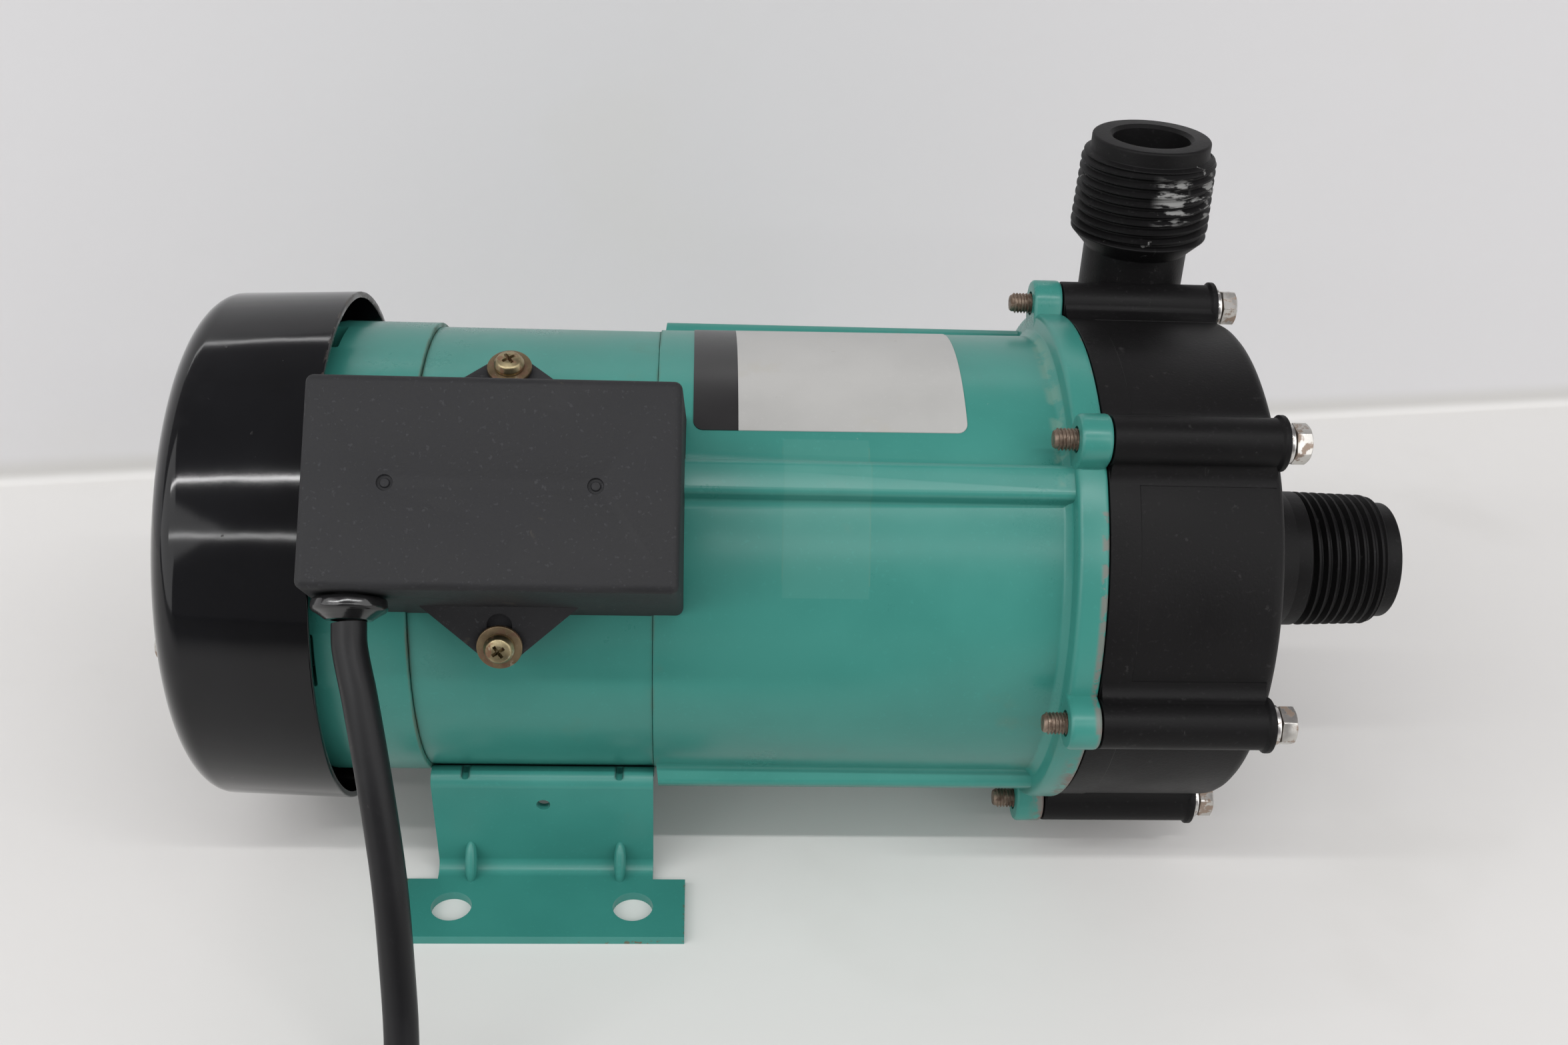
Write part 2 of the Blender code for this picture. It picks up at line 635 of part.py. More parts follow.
# Motor.
def motor():
    """Stator shell with its core and windings, rear end bell, bearings, shaft and rotor."""
    shell = turned("stator_shell", [
        (FRONT_SEAM - 0.5 * FIT, SHELL_RADIUS), (REAR_SEAM + 0.5 * FIT, SHELL_RADIUS),
        (REAR_SEAM + 0.5 * FIT, SHELL_INNER), (FRONT_SEAM - 0.5 * FIT, SHELL_INNER)], GREEN_PAINT)
    turned("stator_core", [
        (CORE_FRONT, SHELL_INNER - FIT), (CORE_REAR, SHELL_INNER - FIT),
        (CORE_REAR, CORE_BORE), (CORE_FRONT, CORE_BORE)], LAMINATION)
    bulge = WINDING_BULGE
    for name, near, far in (("winding_rear", CORE_REAR - FIT, CORE_REAR - FIT - WINDING_LENGTH),
                            ("winding_front", CORE_FRONT + FIT, CORE_FRONT + FIT + WINDING_LENGTH)):
        inset = bulge if near < far else -bulge
        turned(name, [
            (near, WINDING_OUTER), (far - inset, WINDING_OUTER), (far, WINDING_OUTER - bulge),
            (far, WINDING_INNER + bulge), (far - inset, WINDING_INNER), (near, WINDING_INNER)],
            COPPER, 20)
    housing = BEARING_RADIUS + FIT
    inner = SPIGOT_RADIUS - SPIGOT_WALL
    wall_front = BELL_BACK + BELL_END_WALL
    bell = turned("motor_end_bell", [
        (REAR_SEAM - 0.5 * FIT, BELL_RADIUS), (BELL_BACK + BELL_ROUND, BELL_RADIUS),
        (BELL_BACK, BELL_RADIUS - BELL_ROUND),
        (BELL_BACK, SHAFT_HOLE), (wall_front, SHAFT_HOLE), (wall_front, housing),
        (BELL_BACK + HOUSING_DEPTH, housing), (BELL_BACK + HOUSING_DEPTH, housing + HOUSING_WALL),
        (wall_front, housing + HOUSING_WALL), (wall_front, inner), (REAR_SEAM + SPIGOT_LENGTH, inner),
        (REAR_SEAM + SPIGOT_LENGTH, SPIGOT_RADIUS), (REAR_SEAM - 0.5 * FIT, SPIGOT_RADIUS)], GREEN_PAINT)
    post_end = COVER_BACK + COVER_SHEET + FIT
    join(bell, round_rods("cover_post_join", post_end, wall_front - SUNK, POST_CIRCLE, POST_RADIUS,
                          POST_COUNT, 0.0))
    spread = 0.5 * (inner + BELL_RADIUS)
    openings = []
    for index in range(POST_COUNT):
        openings.append(((spread, 0.0, BELL_BACK + AIR_OPENING_SETBACK + 0.5 * AIR_OPENING_LENGTH),
                         (1.5 * (BELL_RADIUS - inner), AIR_OPENING_WIDTH, AIR_OPENING_LENGTH),
                         360.0 * index / POST_COUNT + AIR_OPENING_PHASE))
    cut(bell, blocks("air_opening_cut", openings, location=AXIS, turn=ALONG_X))
    screw_tip = post_end + POST_SCREW_LENGTH
    cut(bell, round_rods("cover_post_hole_cut", post_end - PAST, screw_tip + SUNK, POST_CIRCLE,
                         POST_SCREW_RADIUS + FIT, POST_COUNT, 0.0))
    rear_bearing = wall_front + FIT
    front_bearing = PARTITION + BEARING_SHOULDER + FIT
    for name, start in (("rear_bearing", rear_bearing), ("front_bearing", front_bearing)):
        end = start + BEARING_WIDTH
        chamfer = BEARING_CHAMFER
        turned(name, [
            (end, BEARING_RADIUS - chamfer), (end - chamfer, BEARING_RADIUS),
            (start + chamfer, BEARING_RADIUS), (start, BEARING_RADIUS - chamfer),
            (start, SHAFT_RADIUS + FIT), (end, SHAFT_RADIUS + FIT)], STEEL, 20)
    collar = SHAFT_RADIUS + SHAFT_COLLAR
    chamfer = SHAFT_CHAMFER
    shaft_front = CAN_BACK - SHAFT_CAN_SPACE
    turned("motor_shaft", [
        (shaft_front, 0.0), (shaft_front, SHAFT_RADIUS - chamfer), (shaft_front - chamfer, SHAFT_RADIUS),
        (PARTITION + 0.5 * BEARING_SHOULDER, SHAFT_RADIUS), (PARTITION + 0.5 * BEARING_SHOULDER, collar),
        (rear_bearing + BEARING_WIDTH + FIT, collar), (rear_bearing + BEARING_WIDTH + FIT, SHAFT_RADIUS),
        (chamfer - SHAFT_REAR, SHAFT_RADIUS), (-SHAFT_REAR, SHAFT_RADIUS - chamfer), (-SHAFT_REAR, 0.0)],
        STEEL, 20, carrier=ROTOR_AXIS)
    rotor = CORE_BORE - AIR_GAP
    ring = rotor - END_RING_STEP
    turned("rotor_core", [
        (CORE_FRONT + END_RING_LENGTH, ring), (CORE_FRONT, ring), (CORE_FRONT, rotor), (CORE_REAR, rotor),
        (CORE_REAR, ring), (CORE_REAR - END_RING_LENGTH, ring), (CORE_REAR - END_RING_LENGTH, collar + FIT),
        (CORE_FRONT + END_RING_LENGTH, collar + FIT)], ALUMINIUM, MIDDLE, carrier=ROTOR_AXIS)
    return shell


def cooling():
    """Fan on the rear of the shaft and the cover over it, with its grille and screws."""
    disc_front = BELL_BACK - FAN_BELL_SPACE
    disc_back = disc_front - FAN_DISC
    blade_back = disc_back - FAN_DEPTH
    bore = SHAFT_RADIUS + FIT
    fan = turned("cooling_fan", [
        (disc_front, FAN_RADIUS), (disc_back, FAN_RADIUS), (disc_back, FAN_HUB_RADIUS),
        (blade_back, FAN_HUB_RADIUS - 0.0008), (blade_back, bore), (disc_front, bore)],
        BLACK_PLASTIC, MIDDLE, carrier=ROTOR_AXIS)
    reach = FAN_RADIUS - FAN_HUB_RADIUS
    middle = FAN_HUB_RADIUS + 0.5 * reach
    sheets = []
    for index in range(FAN_BLADES):
        sheets.append(((middle - 0.0006, 0.0, 0.5 * (blade_back + disc_back) + 0.0003),
                       (reach - 0.0004, FAN_BLADE, FAN_DEPTH - 0.0012), 360.0 * index / FAN_BLADES + 5.0))
    join(fan, blocks("fan_blade_join", sheets, location=AXIS, turn=ALONG_X))

    depth = COVER_CORNER_DEPTH
    rise = COVER_CORNER
    sheet = COVER_SHEET
    outer = [(COVER_MOUTH, COVER_RADIUS)]
    inner = [(COVER_MOUTH, COVER_RADIUS - sheet)]
    for index in range(4):
        turn = math.radians(90.0 * index / 3)
        outer.append((COVER_BACK + depth * (1.0 - math.sin(turn)),
                      COVER_BACK_RADIUS - rise * (1.0 - math.cos(turn))))
        inner.append((COVER_BACK + sheet + (depth - 0.5 * sheet) * (1.0 - math.sin(turn)),
                      COVER_BACK_RADIUS - sheet - (rise - 0.5 * sheet) * (1.0 - math.cos(turn))))
    outer[1] = (outer[1][0], COVER_BACK_RADIUS)
    cover = turned("fan_cover", outer + [(COVER_BACK, 0.0), (COVER_BACK + sheet, 0.0)] + inner[::-1],
                   BLACK_ENAMEL)
    long = COVER_SLOT_OUTER - COVER_SLOT_INNER
    slots = []
    for index in range(COVER_SLOTS):
        slots.append(((COVER_SLOT_INNER + 0.5 * long, 0.0, COVER_BACK), (long, COVER_SLOT_WIDTH, 0.01),
                      360.0 * index / COVER_SLOTS + 10.0))
    cut(cover, blocks("cover_slot_cut", slots, location=AXIS, turn=ALONG_X))
    hole = POST_SCREW_RADIUS + FIT
    cut(cover, round_rods("cover_screw_cut", COVER_BACK - 0.002, COVER_BACK + 0.004, POST_CIRCLE, hole,
                          POST_COUNT, 0.0))
    head = COVER_BACK - FIT
    tip = COVER_BACK + COVER_SHEET + FIT + POST_SCREW_LENGTH
    for index in range(POST_COUNT):
        spot = round_point(0.0, POST_CIRCLE, 360.0 * index / POST_COUNT)
        turned(f"cover_screw_{index + 1}", [
            (tip, 0.0), (tip, POST_SCREW_RADIUS), (head, POST_SCREW_RADIUS), (head, POST_SCREW_HEAD),
            (head - 0.6 * POST_SCREW_HEAD_HEIGHT, POST_SCREW_HEAD),
            (head - POST_SCREW_HEAD_HEIGHT, 0.6 * POST_SCREW_HEAD), (head - POST_SCREW_HEAD_HEIGHT, 0.0)],
            STEEL, SMALL, spot)


def pump_bracket():
    """Bracket with the front bearing, flange, bolt ears and four ribs."""
    bore = BRACKET_REAR_RADIUS - BRACKET_WALL
    spigot = SPIGOT_RADIUS - SPIGOT_WALL
    housing = BEARING_RADIUS + FIT
    shoulder = PARTITION + BEARING_SHOULDER
    nose = shoulder + BEARING_WIDTH + 2.0 * FIT
    seat = FLANGE_RADIUS - COUNTERBORE_LIP
    floor = JOINT_FACE - CAN_FLANGE - FIT
    flange_back = JOINT_FACE - FLANGE_THICKNESS
    body = turned("pump_bracket", [
        (JOINT_FACE, FLANGE_RADIUS), (flange_back, FLANGE_RADIUS), (flange_back, BRACKET_FRONT_RADIUS),
        (FRONT_SEAM + 0.5 * FIT, BRACKET_REAR_RADIUS),
        (FRONT_SEAM + 0.5 * FIT, SPIGOT_RADIUS), (FRONT_SEAM - SPIGOT_LENGTH, SPIGOT_RADIUS),
        (FRONT_SEAM - SPIGOT_LENGTH, spigot), (PARTITION, spigot), (PARTITION, SHAFT_HOLE),
        (shoulder, SHAFT_HOLE), (shoulder, housing), (nose, housing), (nose, housing + HOUSING_WALL),
        (PARTITION + PARTITION_WALL, housing + HOUSING_WALL), (PARTITION + PARTITION_WALL, bore),
        (JOINT_FACE, bore)], GREEN_PAINT)
    start = FRONT_SEAM + RIB_SETBACK
    length = flange_back + 0.0005 - start
    root = BRACKET_REAR_RADIUS - 2.0 * SUNK
    top = BRACKET_FRONT_RADIUS + RIB_HEIGHT
    for index, degrees in enumerate((RIB_ANGLE, 180.0 - RIB_ANGLE, 180.0 + RIB_ANGLE, -RIB_ANGLE)):
        spot = round_point(start, 0.0, 0.0)
        turn = Matrix.Rotation(-math.radians(degrees) + math.pi, 4, "X")
        rib = blocks(f"bracket_rib_{index + 1}_join",
                     [((0.5 * length, 0.5 * (root + top), 0.0), (length, top - root, RIB_WIDTH), 0.0)],
                     location=spot, turn=turn)
        soften(rib, RIB_ROUND, 1)
        join(body, rib)
    join(body, round_rods("bracket_ear_join", flange_back, JOINT_FACE, BOLT_CIRCLE, BOSS_RADIUS,
                          BOLT_COUNT, BOLT_PHASE, facets=12))
    past = JOINT_FACE + PAST
    cut(body, turned("counterbore_cut", [(past, 0.0), (past, seat), (floor, seat), (floor, 0.0)]))
    cut(body, round_rods("bracket_bolt_cut", flange_back - PAST, JOINT_FACE + PAST, BOLT_CIRCLE,
                         BOLT_HOLE, BOLT_COUNT, BOLT_PHASE, facets=8))
    return body


# Wet end.
def volute_outline():
    """The volute's spiral, which widens towards the discharge and ends in a straight throat."""
    points = []
    for index in range(VOLUTE_STEPS + 1):
        share = index / VOLUTE_STEPS
        turn = math.radians(VOLUTE_TURN + VOLUTE_SWEEP * share)
        radius = VOLUTE_START + (VOLUTE_END - VOLUTE_START) * share
        points.append((radius * math.cos(turn), radius * math.sin(turn)))
    return points


def front_casing():
    """Volute casing with both nozzles, bolt bosses and ribs on its front face."""
    face = CASING_FRONT
    thread_end = SUCTION_FACE - PILOT_LENGTH
    thread_start = thread_end - THREAD_LENGTH
    step = PILOT_STEP
    turn_points = [(face - CASING_ROUND, CASING_RADIUS)]
    for spot in arc((face - CASING_ROUND, CASING_RADIUS - CASING_ROUND), CASING_ROUND, 50.0, 0.0, 1):
        turn_points.append(spot)
    body = turned("front_casing", [(CASING_BACK, 0.0), (CASING_BACK, CASING_RADIUS)] + turn_points + [
        (face, NOZZLE_ROOT_RADIUS), (thread_start - THREAD_COLLAR, THREAD_RADIUS),
        (thread_start, THREAD_RADIUS),
        (thread_end - step, THREAD_END_RADIUS), (thread_end, PILOT_RADIUS), (SUCTION_FACE, PILOT_RADIUS),
        (SUCTION_FACE, 0.0)], BLACK_PLASTIC)

    width = SEAL_SECTION + SEAL_GROOVE_SPACE
    cut(body, turned("seal_groove_cut", [
        (CASING_BACK + SEAL_GROOVE_DEPTH, SEAL_CIRCLE + width), (CASING_BACK - PAST, SEAL_CIRCLE + width),
        (CASING_BACK - PAST, SEAL_CIRCLE - width),
        (CASING_BACK + SEAL_GROOVE_DEPTH, SEAL_CIRCLE - width)]))

    top = DISCHARGE_FACE
    ring_low = top - PILOT_LENGTH
    thread_low = ring_low - THREAD_LENGTH
    spot = (DISCHARGE_X, DISCHARGE_OFFSET, 0.0)
    upright = Matrix.Identity(4)
    low = SHAFT_HEIGHT + DISCHARGE_ROOT
    join(body, turned("discharge_nozzle_join", [
        (top, 0.0), (top, PILOT_RADIUS), (ring_low, PILOT_RADIUS), (ring_low - step, THREAD_END_RADIUS),
        (thread_low, THREAD_RADIUS),
        (thread_low - NECK_TAPER, NECK_RADIUS), (low, NECK_RADIUS), (low, 0.0)],
        None, MIDDLE, spot, upright))

    join(body, round_rods("casing_boss_join", CASING_BACK, BOSS_END, BOLT_CIRCLE, BOSS_RADIUS,
                          BOLT_COUNT, BOLT_PHASE, facets=12))
    for index in range(BOLT_COUNT):
        foot = THREAD_RADIUS - 0.0010
        wedge = [(FACE_RIB_REACH, 0.0), (foot, FACE_RIB_RISE), (foot - 0.0030, FACE_RIB_RISE),
                 (foot - 0.0030, -0.0010), (FACE_RIB_REACH, -0.0010)]
        degrees = BOLT_PHASE + 360.0 * (index + 0.5) / BOLT_COUNT
        turn = math.radians(degrees)
        out = Vector((0.0, -math.cos(turn), math.sin(turn)))
        side = Vector((1.0, 0.0, 0.0)).cross(out)
        matrix = Matrix((out, Vector((1.0, 0.0, 0.0)), -side)).transposed().to_4x4()
        join(body, plate(f"face_rib_{index + 1}_join", [wedge], FACE_RIB_WIDTH,
                         location=round_point(face, 0.0, 0.0), turn=matrix))

    chamber = CHAMBER_FRONT
    recess = MOUTH_OUTER + FIT
    recess_front = chamber + MOUTH_LENGTH + FIT
    pocket = SUPPORT_OUTER + FIT
    pocket_front = SUPPORT_FRONT + FIT
    inlet_front = pocket_front + INLET_LENGTH
    narrow = inlet_front + INLET_TAPER
    cut(body, turned("casing_inside_cut", [
        (SUCTION_FACE + PAST, 0.0), (SUCTION_FACE + PAST, SUCTION_BORE), (narrow, SUCTION_BORE),
        (inlet_front, INLET_RADIUS), (pocket_front, INLET_RADIUS), (pocket_front, pocket),
        (recess_front, pocket), (recess_front, recess), (chamber, recess),
        (chamber, IMPELLER_RADIUS + CHAMBER_SPACE), (CASING_BACK - PAST, IMPELLER_RADIUS + CHAMBER_SPACE),
        (CASING_BACK - PAST, 0.0)]))
    volute_front = DISCHARGE_X + DISCHARGE_BORE
    volute_back = CASING_BACK - PAST
    flip = Matrix(((0, 0, 1, 0.5 * (volute_front + volute_back)), (-1, 0, 0, 0), (0, 1, 0, SHAFT_HEIGHT),
                   (0, 0, 0, 1)))
    ring = volute_outline() + arc((0.0, 0.0), IMPELLER_RADIUS + 0.25 * CHAMBER_SPACE,
                                  VOLUTE_TURN + VOLUTE_SWEEP, VOLUTE_TURN, VOLUTE_STEPS)
    cut(body, plate("volute_cut", [ring], volute_front - volute_back, turn=flip))
    cut(body, rods("discharge_bore_cut", [(DISCHARGE_X, DISCHARGE_OFFSET, SHAFT_HEIGHT + BORE_START, top + PAST,
                                           DISCHARGE_BORE)], facets=20))
    cut(body, round_rods("casing_bolt_cut", CASING_BACK - PAST, BOSS_END + PAST, BOLT_CIRCLE, BOLT_HOLE,
                         BOLT_COUNT, BOLT_PHASE, facets=8))

    seal = CASING_BACK + SEAL_SECTION + 0.7 * FIT
    points = arc((seal, SEAL_CIRCLE), SEAL_SECTION, 0.0, 300.0, 5)
    turned("casing_seal_ring", points, BLACK_RUBBER)
    return body


def bolts():
    """Hexagon bolts with lock washers, whose tips come out behind the bracket's ears."""
    washer_back = BOSS_END + FIT
    washer_front = washer_back + LOCK_WASHER_THICKNESS
    head_back = washer_front + FIT
    corner = BOLT_HEAD_ACROSS / math.sqrt(3.0)
    for index in range(BOLT_COUNT):
        spot = round_point(0.0, BOLT_CIRCLE, BOLT_PHASE + 360.0 * index / BOLT_COUNT)
        head = rods(f"casing_bolt_{index + 1}", [(0.0, 0.0, head_back, head_back + BOLT_HEAD_HEIGHT, corner)],
                    STEEL, 6, spot, ALONG_X)
        tip = head_back - BOLT_LENGTH
        shank = turned(f"bolt_shank_{index + 1}_join", [
            (head_back + 0.0010, 0.0), (head_back + 0.0010, BOLT_RADIUS), (tip + 0.0008, BOLT_RADIUS),
            (tip, BOLT_RADIUS - 0.0008), (tip, 0.0)], None, SMALL, spot)
        join(head, shank)
        turned(f"lock_washer_{index + 1}", [
            (washer_front, LOCK_WASHER_RADIUS), (washer_back, LOCK_WASHER_RADIUS),
            (washer_back, BOLT_RADIUS + FIT), (washer_front, BOLT_RADIUS + FIT)], STEEL, SMALL, spot)


def coupling():
    """Drive yoke and magnet on the shaft, the rear casing between them, and the driven side inside."""
    bore = SHAFT_RADIUS + FIT
    hub_back = YOKE_BACK + YOKE_END - YOKE_HUB_LENGTH
    end = YOKE_BACK + YOKE_END
    yoke = turned("drive_yoke", [
        (MAGNET_FRONT, YOKE_OUTER), (YOKE_BACK + 0.0020, YOKE_OUTER), (YOKE_BACK, YOKE_OUTER - 0.0020),
        (YOKE_BACK, YOKE_HUB_RADIUS), (hub_back, YOKE_HUB_RADIUS), (hub_back, bore), (end, bore),
        (end, YOKE_INNER), (MAGNET_FRONT, YOKE_INNER)], STEEL, MIDDLE, carrier=ROTOR_AXIS)
    turned("drive_magnet", [
        (MAGNET_FRONT, MAGNET_OUTER), (MAGNET_FRONT - MAGNET_LENGTH, MAGNET_OUTER),
        (MAGNET_FRONT - MAGNET_LENGTH, MAGNET_INNER), (MAGNET_FRONT, MAGNET_INNER)],
        FERRITE, MIDDLE, carrier=ROTOR_AXIS)
    screw_x = 0.5 * (hub_back + YOKE_BACK)
    hole = [(0.0, 0.0, SHAFT_RADIUS, YOKE_HUB_RADIUS + 0.003, SET_SCREW_RADIUS + FIT)]
    cut(yoke, rods("set_screw_cut", hole, location=(screw_x, 0.0, SHAFT_HEIGHT)))
    rods("drive_set_screw", [(0.0, 0.0, SHAFT_RADIUS + FIT, YOKE_HUB_RADIUS, SET_SCREW_RADIUS)], STEEL,
         SMALL, (screw_x, 0.0, SHAFT_HEIGHT), carrier=ROTOR_AXIS)

    flange = FLANGE_RADIUS - COUNTERBORE_LIP - 2.0 * FIT
    flange_back = CAN_MOUTH - CAN_FLANGE
    socket = SPINDLE_RADIUS + FIT
    can_floor = CAN_BACK + CAN_END_WALL
    turned("rear_casing", [
        (CAN_MOUTH, flange), (flange_back, flange), (flange_back, CAN_RADIUS + 0.0004),
        (CAN_BACK + 0.0020, CAN_RADIUS), (CAN_BACK, CAN_RADIUS - 0.0020), (CAN_BACK, 0.0),
        (can_floor - 0.0010, 0.0), (can_floor - 0.0010, socket), (SOCKET_FRONT, socket),
        (SOCKET_FRONT, socket + SOCKET_WALL), (can_floor, socket + SOCKET_WALL), (can_floor, CAN_INNER),
        (CAN_MOUTH, CAN_INNER)], BLACK_PLASTIC, MIDDLE)
    spindle_front = SUPPORT_FRONT - 0.0005
    turned("spindle", [
        (spindle_front, 0.0), (spindle_front, SPINDLE_RADIUS - 0.0005),
        (spindle_front - 0.0005, SPINDLE_RADIUS), (can_floor - 0.0002, SPINDLE_RADIUS),
        (can_floor - 0.0007, SPINDLE_RADIUS - 0.0005), (can_floor - 0.0007, 0.0)], WHITE_CERAMIC, 16)
    thrust_back = SOCKET_FRONT + FIT
    turned("thrust_ring", [
        (thrust_back + THRUST_LENGTH - FIT, socket + SOCKET_WALL), (thrust_back, socket + SOCKET_WALL),
        (thrust_back, socket), (thrust_back + THRUST_LENGTH - FIT, socket)], WHITE_CERAMIC, 16)
    capsule = CAN_INNER - COUPLING_GAP
    turned("magnet_capsule", [
        (CAPSULE_FRONT, capsule - 0.0010), (CAPSULE_FRONT - 0.0010, capsule),
        (CAPSULE_BACK + 0.0015, capsule), (CAPSULE_BACK, capsule - 0.0015),
        (CAPSULE_BACK, BUSH_OUTER + FIT), (CAPSULE_FRONT, BUSH_OUTER + FIT)],
        BLACK_PLASTIC, MIDDLE, carrier=IMPELLER_AXIS)
    turned("capsule_bush", [
        (PASSAGE_BACK + 0.004, BUSH_OUTER), (CAPSULE_BACK + 0.0004, BUSH_OUTER),
        (CAPSULE_BACK + 0.0004, BUSH_INNER), (PASSAGE_BACK + 0.004, BUSH_INNER)],
        CARBON, 16, carrier=IMPELLER_AXIS)


def vane_outline(start):
    """One backward-curved vane, from the hub side out to the rim."""
    inner, outer = [], []
    steps = 5
    for index in range(steps + 1):
        share = index / steps
        radius = VANE_INNER + (IMPELLER_RADIUS - 0.0006 - VANE_INNER) * share
        turn = math.radians(start - VANE_SWEEP * share ** 1.1)
        half = 0.5 * VANE_THICKNESS / radius
        inner.append((radius * math.cos(turn - half), radius * math.sin(turn - half)))
        outer.append((radius * math.cos(turn + half), radius * math.sin(turn + half)))
    return inner + outer[::-1]


def impeller():
    """Closed impeller on the capsule, the ring round its eye and the spindle's front support."""
    bore = BUSH_OUTER + FIT
    back = CAPSULE_FRONT + FIT
    body = turned("impeller", [
        (PASSAGE_BACK, IMPELLER_RADIUS), (IMPELLER_BACK, IMPELLER_RADIUS), (IMPELLER_BACK, IMPELLER_BOSS),
        (back, IMPELLER_BOSS), (back, bore), (PASSAGE_BACK + 0.0045, bore),
        (PASSAGE_BACK + 0.0045, IMPELLER_HUB - 0.0015), (PASSAGE_BACK, IMPELLER_HUB)],
        BLACK_PLASTIC, MIDDLE, carrier=IMPELLER_AXIS)
    flat = Matrix(((0, 0, 1, 0.5 * (PASSAGE_BACK + PASSAGE_FRONT)), (-1, 0, 0, 0), (0, 1, 0, SHAFT_HEIGHT),
                   (0, 0, 0, 1)))
    vanes = [vane_outline(360.0 * index / VANES) for index in range(VANES)]
    join(body, plate("impeller_vane_join", vanes, IMPELLER_PASSAGE + 0.0016, turn=flat))
    eye_front = IMPELLER_FRONT + EYE_LENGTH
    join(body, turned("front_shroud_join", [
        (IMPELLER_FRONT, IMPELLER_RADIUS), (PASSAGE_FRONT, IMPELLER_RADIUS), (PASSAGE_FRONT, EYE_RADIUS + 0.0015),
        (PASSAGE_FRONT + 0.0015, EYE_RADIUS), (eye_front, EYE_RADIUS), (eye_front, EYE_OUTER),
        (IMPELLER_FRONT, EYE_OUTER)], None, MIDDLE))
    mouth_back = CHAMBER_FRONT + FIT
    turned("mouth_ring", [
        (mouth_back + MOUTH_LENGTH - FIT, MOUTH_OUTER), (mouth_back, MOUTH_OUTER),
        (mouth_back, MOUTH_INNER), (mouth_back + MOUTH_LENGTH - FIT, MOUTH_INNER)], CARBON, MIDDLE)
    ring_in = INLET_RADIUS
    support = turned("spindle_support", [
        (SUPPORT_FRONT, SUPPORT_OUTER), (SUPPORT_BACK, SUPPORT_OUTER), (SUPPORT_BACK, ring_in),
        (SUPPORT_FRONT, ring_in)], BLACK_PLASTIC, MIDDLE)
    arms = []
    reach = ring_in + 0.0008 - SUPPORT_HUB
    for index in range(SUPPORT_ARMS):
        arms.append(((SUPPORT_HUB - 0.0004 + 0.5 * reach, 0.0, 0.5 * (SUPPORT_BACK + SUPPORT_FRONT)),
                     (reach + 0.0008, SUPPORT_ARM, SUPPORT_LENGTH - 0.0020), 360.0 * index / SUPPORT_ARMS))
    hub = turned("support_hub_join", [
        (SUPPORT_FRONT - 0.0005, SUPPORT_HUB), (SUPPORT_BACK + 0.0005, SUPPORT_HUB),
        (SUPPORT_BACK + 0.0005, SPINDLE_RADIUS + FIT), (SUPPORT_FRONT - 0.0005, SPINDLE_RADIUS + FIT)],
        None, 16)
    arm = blocks("support_arm_join", arms, location=AXIS, turn=ALONG_X)
    join(hub, arm)
    join(support, hub)
    return body


# Terminal box in its own frame: X along the shaft, Y up its face and Z out of its face.
BOX_TURN = Matrix.Rotation(math.radians(90.0 - BOX_TILT), 4, "X")
BOX_X = REAR_SEAM + BOX_MIDDLE


def tapered_box(name, length, height, low, high, draft, look=None):
    """A block with draft whose face lies away from the shaft."""
    form = bmesh.new()
    bmesh.ops.create_cube(form, size=1.0)
    for vert in form.verts:
        far = vert.co.z > 0.0
        grow = 0.0 if far else draft * (high - low) / (BOX_FACE - BOX_ROOT)
        vert.co.x *= length + 2.0 * grow
        vert.co.y *= height + 2.0 * grow
        vert.co.z = high if far else low
    return solid_from(name, form, look, AXIS + Vector((BOX_X, 0.0, 0.0)), BOX_TURN)


def ear_outline(way):
    """A triangular ear with a round tip."""
    tip = EAR_REACH - EAR_TIP_RADIUS
    root = 0.5 * BOX_HEIGHT - BOX_WALL
    run = math.hypot(EAR_HALF_WIDTH, tip - root)
    lean = math.degrees(math.acos(EAR_TIP_RADIUS / run)) - math.degrees(math.atan2(tip - root, EAR_HALF_WIDTH))
    points = [(-EAR_HALF_WIDTH, root), (EAR_HALF_WIDTH, root)]
    points += arc((0.0, tip), EAR_TIP_RADIUS, 180.0 - (180.0 - lean), 180.0 - lean, 6)
    return [(x, way * y) for x, y in points]


